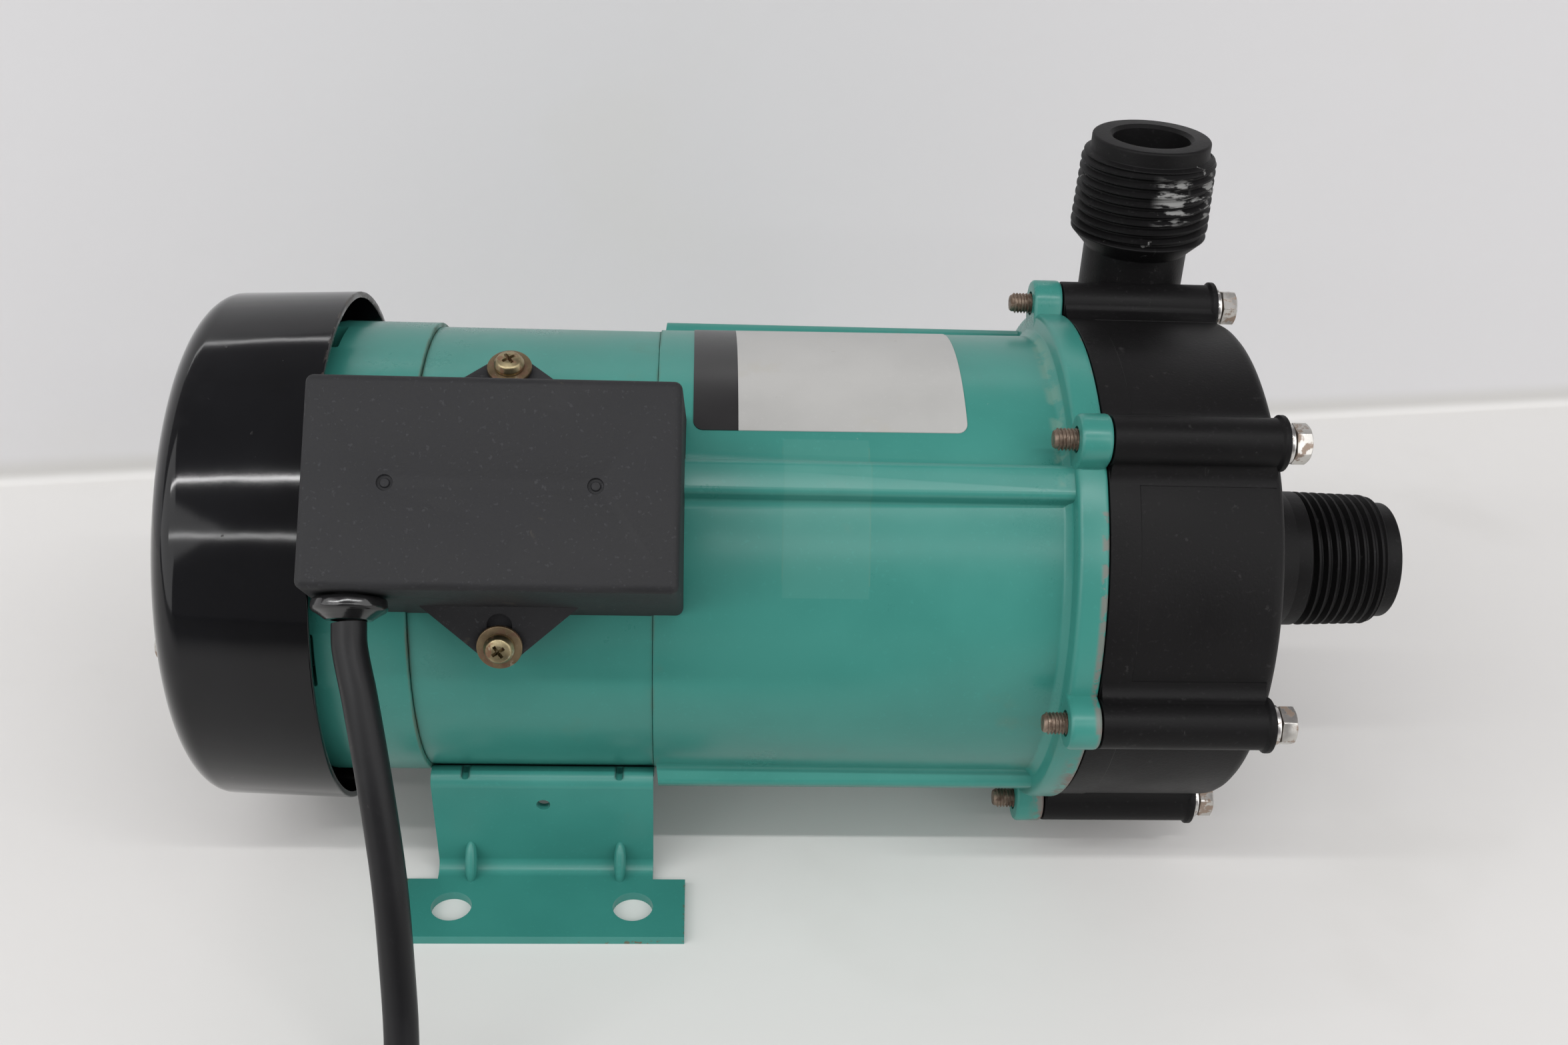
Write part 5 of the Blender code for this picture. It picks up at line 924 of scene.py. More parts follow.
@dataclass(frozen=True)
class CouplingBracket:
    """The bracket between motor and pump with its flange, ears and ribs, and the bare plate on it."""

    bolts: BoltRing
    rear_radius: float = 0.0544
    front_radius: float = 0.0550
    wall: float = 0.0046
    flange_radius: float = 0.0607
    flange: float = 0.0071
    lip: float = 0.0020
    counterbore: float = 0.0036
    partition: float = 0.0127
    partition_wall: float = 0.0045
    shoulder: float = 0.0050
    bearing: float = 0.0163
    housing_wall: float = 0.0042
    shaft_hole: float = 0.0080
    spigot: float = 0.0032
    fit: float = 0.0507
    spigot_wall: float = 0.0028
    rib_degrees: float = 47.0
    rib_width: float = 0.0088
    rib_height: float = 0.0038
    rib_start: float = 0.0006
    rib_slope: float = 0.12
    ear_radius: float = 0.0058
    bolt_hole: float = 0.0030
    plate: Pair = (-0.0282, 0.0334)
    band_end: float = -0.0181
    plate_half: float = 0.0272
    foil: float = 0.00015
    foil_corner: float = 0.0022

    def build(self) -> None:
        """Makes the bracket and the plate."""
        flange_back = JOINT_FACE - self.flange
        bore = self.rear_radius - self.wall
        inside = self.fit - self.spigot_wall
        shoulder = FRONT_SEAM + self.partition + self.shoulder
        nose = shoulder + 0.0106
        housing = self.bearing + self.housing_wall
        wall_front = FRONT_SEAM + self.partition + self.partition_wall
        body = made("coupling_bracket", turned([
            (JOINT_FACE, self.flange_radius, 0.0009), (flange_back + 0.0004, self.flange_radius, 0.0014),
            (flange_back, self.front_radius + 0.0016, 0.0010),
            (flange_back - 0.0016, self.front_radius, 0.0012),
            (FRONT_SEAM + FRONT_GAP, self.rear_radius, 0.0002), (FRONT_SEAM + FRONT_GAP, self.fit),
            (FRONT_SEAM - self.spigot, self.fit), (FRONT_SEAM - self.spigot, inside),
            (FRONT_SEAM + self.partition, inside), (FRONT_SEAM + self.partition, self.shaft_hole),
            (shoulder, self.shaft_hole), (shoulder, self.bearing), (nose, self.bearing), (nose, housing),
            (wall_front, housing), (wall_front, bore), (JOINT_FACE - self.counterbore, bore),
            (JOINT_FACE - self.counterbore, self.flange_radius - self.lip),
            (JOINT_FACE, self.flange_radius - self.lip)], 144))
        joined(body, *[self.rib(turn) for turn in (self.rib_degrees, 180.0 - self.rib_degrees,
                                                   180.0 + self.rib_degrees, -self.rib_degrees)])
        ears = []
        cores = []
        for index in range(self.bolts.count):
            place = Matrix.Translation(around(0.0, self.bolts.circle, self.bolts.degrees(index))) @ ALONG_X
            ears.append(self.ear(index, place, flange_back))
            cores.append(rod(self.bolt_hole, flange_back - 0.004, JOINT_FACE + 0.004, place, 24))
        joined(body, *ears)
        seat = turned([(JOINT_FACE - self.counterbore, 0.0), (JOINT_FACE - self.counterbore,
                       self.flange_radius - self.lip), (JOINT_FACE + 0.004, self.flange_radius - self.lip),
                       (JOINT_FACE + 0.004, 0.0)], 144)
        worked(body, seat, gathered(cores))
        eased(body, 0.00035, 2, 48.0)
        dress(body, BRACKET_PAINT, Body.PUMP, ["pump_bracket"], 30.0)
        self.rating_plate()

    def rib(self, degrees: float) -> bmesh.types.BMesh:
        """A rib along the bracket with rounded shoulders and a spread foot."""
        start = FRONT_SEAM + self.rib_start
        length = JOINT_FACE - self.flange + 0.0005 - start
        base = self.rear_radius - 0.0025
        surface = self.rear_radius - 0.0001
        top = self.front_radius + self.rib_height
        half = 0.5 * self.rib_width
        profile = [(-half - 0.0022, base), (half + 0.0022, base), (half + 0.0022, surface - 0.0004, 0.0002),
                   (half + 0.0001, surface + 0.0006, 0.0018), (half - 0.0006, top, 0.0016),
                   (-half + 0.0006, top, 0.0016), (-half - 0.0001, surface + 0.0006, 0.0018),
                   (-half - 0.0022, surface - 0.0004, 0.0002)]
        form = pushed([(0.0, y, z) for y, z in softened(profile, True, 5)], (length, 0.0, 0.0))
        for vert in form.verts:
            vert.co.x += start
            if vert.co.x < start + 0.001 and vert.co.z > surface:
                vert.co.x += self.rib_slope * (vert.co.z - surface)
        bmesh.ops.transform(form, matrix=outward(degrees), verts=form.verts[:])
        return form

    def ear(self, index: int, place: Matrix, low: float) -> bmesh.types.BMesh:
        """A rounded ear round a bolt, drawn in to the flange by a web."""
        profile = [(low, 0.0), (low, self.ear_radius, 0.0010), (JOINT_FACE, self.ear_radius, 0.0010),
                   (JOINT_FACE, 0.0)]
        knob = turned(profile, 40, place, 3)
        web = block((self.flange - 0.0002, 0.0108, 0.0090),
                    outward(self.bolts.degrees(index)) @ Matrix.Translation(
                        (JOINT_FACE - 0.5 * self.flange, 0.0, self.bolts.circle - 0.0046)), 0.0008, 2)
        return hulled(knob, web)

    def rating_plate(self) -> None:
        """Makes the bare plate on top of the bracket and its plain dark band."""
        slope = (self.front_radius - self.rear_radius) / (JOINT_FACE - self.flange - FRONT_SEAM)
        for name, low, high, finish in (("bare_plate", self.band_end, self.plate[1], PLATE_FOIL),
                                        ("plate_band", self.plate[0], self.band_end, BAND_INK)):
            radii = [self.rear_radius + slope * (x - FRONT_SEAM) + 0.00005
                     for x in (low - 0.002, high + 0.002)]
            skin = made(name, turned([(high + 0.002, radii[1]), (high + 0.002, radii[1] + self.foil),
                                      (low - 0.002, radii[0] + self.foil), (low - 0.002, radii[0])], 240))
            length = high - low
            outline = block((length, 2.0 * self.plate_half, 0.04), Matrix.Identity(4))
            outer = -1.0 if name == "plate_band" else 1.0
            edges = [edge for edge in outline.edges
                     if abs(edge.verts[0].co.z - edge.verts[1].co.z) > 0.01
                     and edge.verts[0].co.x * outer > 0.0]
            bmesh.ops.bevel(outline, geom=edges, offset=self.foil_corner, segments=6, profile=0.5,
                            affect="EDGES", material=-1)
            bmesh.ops.translate(outline, vec=(0.5 * (low + high), SHAFT_Y, SHAFT_Z + 0.045),
                                verts=outline.verts[:])
            worked(skin, outline, operation="INTERSECT")
            dress(skin, finish, Body.PUMP, (), 40.0)


@dataclass(frozen=True)
class PumpCasing:
    """The front casing: volute, both nozzles with their threads, bosses and face ribs."""

    bolts: BoltRing
    radius: float = 0.0600
    round_off: float = 0.0032
    face: float = 0.1027
    root: float = 0.0230
    crest: float = 0.0171
    crest_end: float = 0.0165
    core: float = 0.0156
    thread: float = 0.0200
    collar: float = 0.0035
    pitch: float = 0.00231
    pilot: float = 0.0146
    pilot_length: float = 0.0038
    neck: float = 0.0129
    neck_taper: float = 0.0044
    suction_bore: float = 0.0100
    inlet: float = 0.0140
    outlet_bore: float = 0.0095
    outlet_y: float = 0.0400
    outlet_x: float = 0.0837
    chamber: float = 0.0454
    chamber_front: float = 0.0854
    spiral_degrees: Pair = (62.0, 316.0)
    spiral_radius: Pair = (0.0475, 0.0050)
    recess: float = 0.0202
    recess_front: float = 0.0907
    pocket: float = 0.0165
    pocket_front: float = 0.0966
    boss_radius: float = 0.0056
    lip_radius: float = 0.0063
    lip: float = 0.0013
    web_round: float = 0.0040
    rib_width: float = 0.0034
    rib_reach: float = 0.0520
    rib_rise: float = 0.0100

    def nozzle(self, base: Sequence[Corner], top: float, inner: float) -> list[Corner]:
        """The outline of a nozzle from its base to its open end, then down its bore to the axis."""
        low = top - self.pilot_length - self.thread
        return [*base, (low, self.crest, 0.0003), (low + 0.0008, self.core, 0.0004),
                (top - self.pilot_length - 0.0012, self.core, 0.0004),
                (top - self.pilot_length - 0.0006, self.crest_end - 0.0002, 0.0002),
                (top - self.pilot_length, self.pilot, 0.0003), (top, self.pilot, 0.0007), (top, inner)]

    def build(self) -> None:
        """Makes the casing with its threads."""
        back = JOINT_FACE + CLEAR
        low = SUCTION_FACE - self.pilot_length - self.thread
        base = [(back, 0.0), (back, self.radius, 0.0003), (back + 0.0068, self.radius, 0.0002),
                (back + 0.0070, self.radius - 0.00018, 0.0002),
                (self.face, self.radius - 0.0002, self.round_off),
                (self.face, self.root, 0.0012), (low - self.collar, self.crest, 0.0006)]
        profile = self.nozzle(base, SUCTION_FACE, 0.0)
        body = made("volute_casing", turned(profile, 144, SHAFT, 5))
        upright = Matrix.Translation((self.outlet_x, SHAFT_Y + self.outlet_y, 0.0))
        foot = SHAFT_Z + 0.0300
        thread_low = DISCHARGE_FACE - self.pilot_length - self.thread
        outlet = self.nozzle([(foot, 0.0), (foot, self.neck),
                              (thread_low - self.neck_taper, self.neck, 0.0006)], DISCHARGE_FACE, 0.0)
        bosses = []
        holes = []
        for index in range(self.bolts.count):
            place = Matrix.Translation(around(0.0, self.bolts.circle, self.bolts.degrees(index))) @ ALONG_X
            end = self.bolts.boss_end
            bosses.append(turned([(back, 0.0), (back, self.boss_radius, 0.0002),
                                  (end - self.lip - 0.0006, self.boss_radius, 0.0004),
                                  (end - self.lip, self.lip_radius, 0.0003), (end, self.lip_radius, 0.0004),
                                  (end, 0.0)], 48, place, 3))
            holes.append(rod(0.0030, back - 0.004, end + 0.004, place, 32))
        webs = [self.boss_web(index, back) for index in range(self.bolts.count)]
        ribs = [self.face_rib(index) for index in range(self.bolts.count)]
        joined(body, turned(outlet, 96, upright, 4), *webs, *bosses, *ribs)
        worked(body, self.inside(back), self.volute(back),
               rod(self.outlet_bore, SHAFT_Z + 0.016, DISCHARGE_FACE - 0.0008, upright, 64),
               rod(self.outlet_bore, DISCHARGE_FACE - 0.00085, DISCHARGE_FACE + 0.001, upright, 64,
                   self.outlet_bore + 0.0019), gathered(holes))
        eased(body, 0.00030, 2, 50.0)
        turns = (self.thread - 0.0010) / self.pitch
        crest = self.crest
        drop = self.crest - self.crest_end
        threads = [ridge(self.pitch, turns, self.core, crest, drop, low + 0.0003, SHAFT, 96),
                   ridge(self.pitch, turns, self.core, crest, drop, thread_low + 0.0003, upright, 96)]
        added(body, *threads)
        dress(body, CASING_PLASTIC, Body.PUMP, ["front_casing"], 30.0)

    def boss_web(self, index: int, back: float) -> bmesh.types.BMesh:
        """The hollow rounds that draw a boss in to the casing's side."""
        arm = self.radius + self.web_round
        reach = self.boss_radius + self.web_round
        circle = self.bolts.circle
        lean = math.acos((arm ** 2 + circle ** 2 - reach ** 2) / (2.0 * arm * circle))
        spot = Vector((arm * math.sin(lean), arm * math.cos(lean)))
        first = (-spot).normalized()
        last = (Vector((0.0, circle)) - spot).normalized()
        side = [spot + first.slerp(last, step / 8.0) * (self.web_round + 0.00004) for step in range(9)]
        outline = [(point.x, point.y) for point in side] + [(-point.x, point.y) for point in side[::-1]]
        outline += [(-side[0].x, self.radius - 0.0020), (side[0].x, self.radius - 0.0020)]
        form = pushed([(back + 0.0004, y, z) for y, z in outline], (self.face - 0.0026 - back, 0.0, 0.0))
        bmesh.ops.transform(form, matrix=outward(self.bolts.degrees(index)), verts=form.verts[:])
        return form

    def face_rib(self, index: int) -> bmesh.types.BMesh:
        """A tapered rib on the casing's face, from the nozzle out to the round."""
        foot = self.crest - 0.0040
        outline = [(foot, -0.0010), (self.rib_reach, -0.0010), (self.rib_reach, 0.0003),
                   (self.crest + 0.0010, self.rib_rise), (foot, self.rib_rise)]
        half = 0.5 * self.rib_width
        form = pushed([(self.face + rise, -half, out) for out, rise in outline], (0.0, self.rib_width, 0.0))
        bmesh.ops.bevel(form, geom=form.edges[:], offset=0.0004, segments=2, profile=0.5, affect="EDGES",
                        material=-1)
        turn = self.bolts.phase + 360.0 * (index + 0.5) / self.bolts.count
        bmesh.ops.transform(form, matrix=outward(turn), verts=form.verts[:])
        return form

    def inside(self, back: float) -> bmesh.types.BMesh:
        """The hollow for the impeller, the mouth ring, the spindle's support and the inlet."""
        narrow = self.pocket_front + 0.0140
        return turned([
            (SUCTION_FACE + 0.001, 0.0), (SUCTION_FACE + 0.001, self.suction_bore + 0.0018),
            (SUCTION_FACE - 0.0008, self.suction_bore), (narrow, self.suction_bore),
            (self.pocket_front + 0.0040, self.inlet), (self.pocket_front, self.inlet),
            (self.pocket_front, self.pocket), (self.recess_front, self.pocket),
            (self.recess_front, self.recess), (self.chamber_front, self.recess),
            (self.chamber_front, self.chamber), (back - 0.004, self.chamber), (back - 0.004, 0.0)], 96)

    def volute(self, back: float) -> bmesh.types.BMesh:
        """The spiral passage round the impeller, which widens towards the outlet."""
        points: list[Pair] = []
        steps = 48
        start, sweep = self.spiral_degrees
        first, growth = self.spiral_radius
        inner = self.chamber - 0.0010
        for index in range(steps + 1):
            share = index / steps
            turn = math.radians(start + sweep * share)
            radius = first + growth * share
            points.append((radius * math.cos(turn), radius * math.sin(turn)))
        for index in range(steps + 1):
            turn = math.radians(start + sweep - sweep * index / steps)
            points.append((inner * math.cos(turn), inner * math.sin(turn)))
        rear = back - 0.003
        return pushed([(rear, SHAFT_Y - x, SHAFT_Z + y) for x, y in points],
                      (self.outlet_x + self.outlet_bore - rear, 0.0, 0.0))


@dataclass(frozen=True)
class ConnectionBox:
    """The terminal box with its ears, screws and washers, and the cord's bushing."""

    middle: float = -0.0685
    tilt: float = 40.0
    length: float = 0.0760
    height: float = 0.0438
    face: float = 0.0820
    root: float = 0.0440
    draft: float = 0.0010
    wall: float = 0.0024
    round_off: float = 0.0017
    ear_face: float = 0.0637
    ear_lean: float = 28.4
    ear_root: float = 0.0125
    ear_half: float = 0.0196
    ear_tip: float = 0.0046
    washer: float = 0.0009
    washer_radius: float = 0.0049
    washer_hole: float = 0.0024
    bushing_x: float = -0.0286
    bushing_out: float = 0.0722
    bushing_hole: float = 0.0045
    screw_hole: float = 0.0023
    pocket_radius: float = 0.0027
    pocket_depth: float = 0.0016
    pocket_shift: float = 0.0046
    dimples: Pair = (-0.0211, 0.0209)
    lump: float = 0.00035
    lumps_per_metre: float = 260.0
    dimple_depth: float = 0.0007
    dimple_y: float = -0.0004
    seat: float = 0.0543
    seat_ends: float = 0.0553

    @property
    def place(self) -> Matrix:
        """The box's own place: X along the shaft, Y up its face and Z out of its face."""
        turn = Matrix.Rotation(math.radians(90.0 - self.tilt), 4, "X")
        return Matrix.Translation((self.middle, SHAFT_Y, SHAFT_Z)) @ turn

    def tapered(self, length: float, height: float, low: float, high: float) -> bmesh.types.BMesh:
        """A block with draft, from one height over the shaft to another."""
        form = bmesh.new()
        bmesh.ops.create_cube(form, size=1.0)
        for vert in form.verts:
            far = vert.co.z > 0.0
            grow = 0.0 if far else self.draft * (high - low) / (self.face - self.root)
            vert.co.x *= length + 2.0 * grow
            vert.co.y *= height + 2.0 * grow
            vert.co.z = high if far else low
        return form

    def ear(self, way: float) -> bmesh.types.BMesh:
        """A pointed ear with a round tip, square to its screw."""
        low, high = 0.0500, self.ear_face
        tip = rod(self.ear_tip, low, high, self.lean(way), 32)
        root = block((2.0 * self.ear_half, 0.0010, high - low), self.lean(way) @ Matrix.Translation(
            (0.0, -way * (self.ear_root - 0.0005), 0.5 * (low + high))))
        return hulled(tip, root)

    def lean(self, way: float) -> Matrix:
        """The place of an ear's screw in the box's own frame, with the screw along Z."""
        return Matrix.Rotation(math.radians(-way * self.ear_lean), 4, "X")

    def build(self) -> None:
        """Makes the box, its fasteners and the bushing."""
        place = self.place
        form = self.tapered(self.length, self.height, self.root, self.face)
        edges = [edge for edge in form.edges if any(vert.co.z > 0.5 * (self.root + self.face)
                                                   for vert in edge.verts)]
        bmesh.ops.bevel(form, geom=edges, offset=self.round_off, segments=6, profile=0.5, affect="EDGES",
                        material=-1)
        box = made("connection_box", form)
        joined(box, self.ear(1.0), self.ear(-1.0))
        hollow = self.tapered(self.length - 2.0 * self.wall, self.height - 2.0 * self.wall, self.root - 0.010,
                              self.face - self.wall)
        outside = 0.5 * self.height + 0.004
        down = Matrix.Rotation(math.radians(90.0), 4, "X")
        at = Matrix.Translation((self.bushing_x, 0.0, self.bushing_out))
        cuts = [hollow, rod(self.bushing_hole, outside - 0.010, outside, at @ down, 32)]
        for way in (1.0, -1.0):
            cuts.append(rod(self.screw_hole, 0.030, 0.070, self.lean(way), 24))
        pocket = self.lean(-1.0) @ Matrix.Translation((0.0, self.pocket_shift, 0.0))
        cuts.append(rod(self.pocket_radius, self.ear_face - self.pocket_depth, 0.070, pocket, 32))
        floor = self.face - self.dimple_depth
        for x in self.dimples:
            cuts.append(turned([(floor, 0.0), (floor, 0.0016, 0.0002), (self.face + 0.001, 0.0018),
                                (self.face + 0.001, 0.0)], 32,
                               Matrix.Translation((x, self.dimple_y, 0.0)), 2))
        for cut in cuts:
            worked(box, cut)
        for x in self.dimples:
            joined(box, turned([(self.face - 0.0010, 0.0), (self.face - 0.0010, 0.0011),
                                (self.face - 0.0002, 0.0009, 0.0002), (self.face - 0.0002, 0.0)], 24,
                               Matrix.Translation((x, self.dimple_y, 0.0)), 2))
        box.data.transform(place)
        seat, wide = self.seat, self.seat_ends
        far = self.middle + self.length
        near = self.middle - self.length
        worked(box, turned([(far, 0.0), (far, wide), (FRONT_SEAM - CLEAR, wide), (FRONT_SEAM - CLEAR, seat),
                            (REAR_SEAM + CLEAR, seat), (REAR_SEAM + CLEAR, wide), (near, wide),
                            (near, 0.0)], 144))
        eased(box, 0.00025, 2, 50.0)
        dress(box, BOX_PLASTIC, Body.PUMP, ["terminal_box"], 30.0)
        for index, way in ((1, 1.0), (2, -1.0)):
            at = place @ self.lean(way) @ Matrix.Translation((0.0, 0.0, self.ear_face + CLEAR))
            washer = turned([(0.0, self.washer_hole), (0.0, self.washer_radius, 0.0002),
                             (self.washer, self.washer_radius, 0.0003), (self.washer, self.washer_hole)],
                            48, at, 2)
            dress(made(f"box_plain_washer_{index}", washer), WASHER_ZINC, Body.PUMP, [f"box_washer_{index}"])
            head = at @ Matrix.Translation((0.0, 0.0, self.washer + 0.0001))
            PanScrew(0.0033, 0.0024, 0.0019, 0.0140).build(f"box_pan_screw_{index}", head, SCREW_ZINC,
                                                          f"box_screw_{index}")
        self.bushing(place)

    def bushing(self, place: Matrix) -> None:
        """Makes the glossy bushing in the lower wall."""
        outer = 0.5 * self.height + 0.0006
        end = 0.5 * self.height + self.draft + 0.0042
        profile = [(outer - 0.0062, 0.0037), (outer - 0.0062, 0.0042, 0.0003),
                   (outer - 0.0030, 0.0050, 0.0003), (outer - 0.0030, 0.0042),
                   (outer, 0.0042), (outer, 0.0075, 0.0009),
                   (outer + 0.0026, 0.0077, 0.0012), (outer + 0.0038, 0.0058, 0.0008),
                   (end, 0.0046, 0.0003), (end, 0.0037)]
        at = place @ Matrix.Translation((self.bushing_x, 0.0, self.bushing_out))
        form = turned(profile, 56, Matrix.Identity(4), 4)
        for vert in form.verts:
            radius = math.hypot(vert.co.x, vert.co.y)
            if vert.co.z > outer - 0.0001 and radius > 0.0040:
                lump = self.lump * noise.noise(vert.co * self.lumps_per_metre)
                vert.co.x *= 1.0 + lump / radius
                vert.co.y *= 1.0 + lump / radius
        bmesh.ops.transform(form, matrix=at @ Matrix.Rotation(math.radians(90.0), 4, "X"),
                            verts=form.verts[:])
        dress(made("cord_gland", form), GLOSS_RUBBER, Body.PUMP, ["cord_bushing"], 50.0)


@dataclass(frozen=True)
class BaseBracket:
    """The bent sheet under the motor: feet, webs and saddle, with pressed darts, and its screws."""

    middle: float = -0.0630
    sheet: float = 0.0023
    half_width: float = 0.0626
    web_half: float = 0.0420
    web_lean: float = 0.0035
    edge_strip: float = 0.0004
    foot_length: float = 0.0694
    web_length: float = 0.0532
    foot_bend: float = 0.0030
    top_bend: float = 0.0009
    hole_radius: float = 0.0049
    hole_spacing: float = 0.0440
    hole_row: float = 0.0523
    web_hole: float = 0.0017
    web_hole_z: float = 0.0248
    dart_spacing: float = 0.0368
    dart: float = 0.0092
    dart_width: float = 0.0030
    dart_thickness: float = 0.0022
    notch: tuple[float, float, float] = (0.0018, 0.0100, 0.0054)
    notch_z: float = 0.0354
    saddle_radius: float = 0.05545
    screw_spots: Pair = (-0.0115, 0.0115)
    screw_z: float = 0.0164

    def path(self) -> list[Pair]:
        """The sheet's middle line across the pump, as (y, z) from its middle."""
        half = 0.5 * self.sheet
        web = self.web_half - half
        foot = self.foot_bend + half
        top = self.top_bend + half
        y = web - top
        z = SHAFT_Z - math.sqrt((self.saddle_radius + top) ** 2 - y ** 2)
        lean = math.degrees(math.atan2(SHAFT_Z - z, -y))
        low_web = web - self.web_lean
        side = [(self.half_width, half), (low_web + foot + self.edge_strip, half)]
        middle = low_web + foot
        side += [(middle + foot * math.cos(math.radians(a)), half + foot + foot * math.sin(math.radians(a)))
                 for a in range(270, 179, -10)]
        rise = z - half - foot
        side += [(low_web + self.web_lean * part, half + foot + rise * part) for part in (0.015, 0.985)]
        turns = [math.radians(lean * index / 8) for index in range(9)]
        side += [(y + top * math.cos(turn), z + top * math.sin(turn)) for turn in turns]
        low = 180.0 + lean
        turns = [math.radians(low + (540.0 - 2.0 * low) * index / 36) for index in range(1, 36)]
        saddle = [(self.saddle_radius * math.cos(turn), SHAFT_Z + self.saddle_radius * math.sin(turn))
                  for turn in turns]
        return side + saddle + [(-a, b) for a, b in side[::-1]]

    def build(self) -> None:
        """Makes the bent sheet and its screws."""
        low = self.middle - 0.5 * self.foot_length
        form = drawn([(low, SHAFT_Y + y, z) for y, z in self.path()], self.foot_length)
        bmesh.ops.recalc_face_normals(form, faces=form.faces[:])
        base = made("base_sheet", form)
        step = base.modifiers.new("Sheet", "SOLIDIFY")
        step.thickness = self.sheet
        step.offset = 0.0
        step.use_even_offset = True
        baked(base)
        side = 0.5 * (self.foot_length - self.web_length) + 0.01
        shift = 0.5 * self.web_length + 0.5 * side
        cuts = []
        for way in (-1.0, 1.0):
            x = self.middle + way * shift
            cuts.append(block((side, 2.0 * self.web_half + 0.0012, 2.0 * SHAFT_Z),
                              Matrix.Translation((x, SHAFT_Y, 0.0))))
            cuts.append(block((side, 3.0 * self.half_width, SHAFT_Z),
                              Matrix.Translation((x, SHAFT_Y, self.sheet + 0.5 * SHAFT_Z))))
        holes = []
        for way in (-1.0, 1.0):
            for shift in (-0.5, 0.5):
                spot = (self.middle + shift * self.hole_spacing, SHAFT_Y + way * self.hole_row, 0.0)
                holes.append(rod(self.hole_radius, -0.002, 0.006, Matrix.Translation(spot), 48))
        across = Matrix.Translation((self.middle, SHAFT_Y, self.web_hole_z)) @ Matrix.Rotation(
            math.radians(90.0), 4, "X")
        worked(base, *cuts, gathered(holes),
               rod(self.web_hole, -self.half_width, self.half_width, across, 24))
        eased(base, 0.00040, 2, 50.0)
        darts = []
        notches = []
        for way in (-1.0, 1.0):
            for shift in (-0.5, 0.5):
                x = self.middle + shift * self.dart_spacing
                darts.append(self.dart_form(x, way))
                notches.append(block(self.notch, Matrix.Translation(
                    (x, SHAFT_Y + way * (self.web_half - 0.0010), self.notch_z)), 0.0006, 2))
        joined(base, *darts)
        worked(base, *notches)
        dress(base, BASE_PAINT, Body.PUMP, ["base_bracket"], 18.0)
        for index, shift in enumerate(self.screw_spots, 1):
            spot = (self.middle + shift, SHAFT_Y, self.screw_z)
            down = Matrix.Translation(spot) @ Matrix.Rotation(math.pi, 4, "X")
            PanScrew(0.0042, 0.0028, 0.0022, 0.0055).build(f"base_pan_screw_{index}", down, BOLT_HEADS,
                                                          f"base_screw_{index}")

    def dart_form(self, x: float, way: float) -> bmesh.types.BMesh:
        """A dart pressed into a foot's bend: a slanting ridge with a round back."""
        form = bmesh.new()
        start = Vector((x, SHAFT_Y + way * (self.web_half + 0.0010), self.sheet - 0.0012))
        top = self.web_half - 0.0012 - 0.7 * self.web_lean
        end = Vector((x, SHAFT_Y + way * top, self.sheet + self.dart))
        along = (end - start).normalized()
        turn = along.to_track_quat("Z", "X").to_matrix().to_4x4()
        length = (end - start).length
        bmesh.ops.create_uvsphere(form, u_segments=20, v_segments=16, radius=1.0)
        for vert in form.verts:
            vert.co.z = math.copysign(abs(vert.co.z) ** 0.8, vert.co.z)
            vert.co = Vector((vert.co.x * self.dart_thickness, vert.co.y * 0.5 * self.dart_width,
                              vert.co.z * 0.5 * length))
        if abs((turn.to_3x3() @ Vector((0.0, 1.0, 0.0))).x) < 0.5:
            bmesh.ops.rotate(form, cent=(0.0, 0.0, 0.0), matrix=Matrix.Rotation(math.radians(90.0), 3, "Z"),
                             verts=form.verts[:])
        place = Matrix.Translation(0.5 * (start + end)) @ turn
        bmesh.ops.transform(form, matrix=place, verts=form.verts[:])
        return form


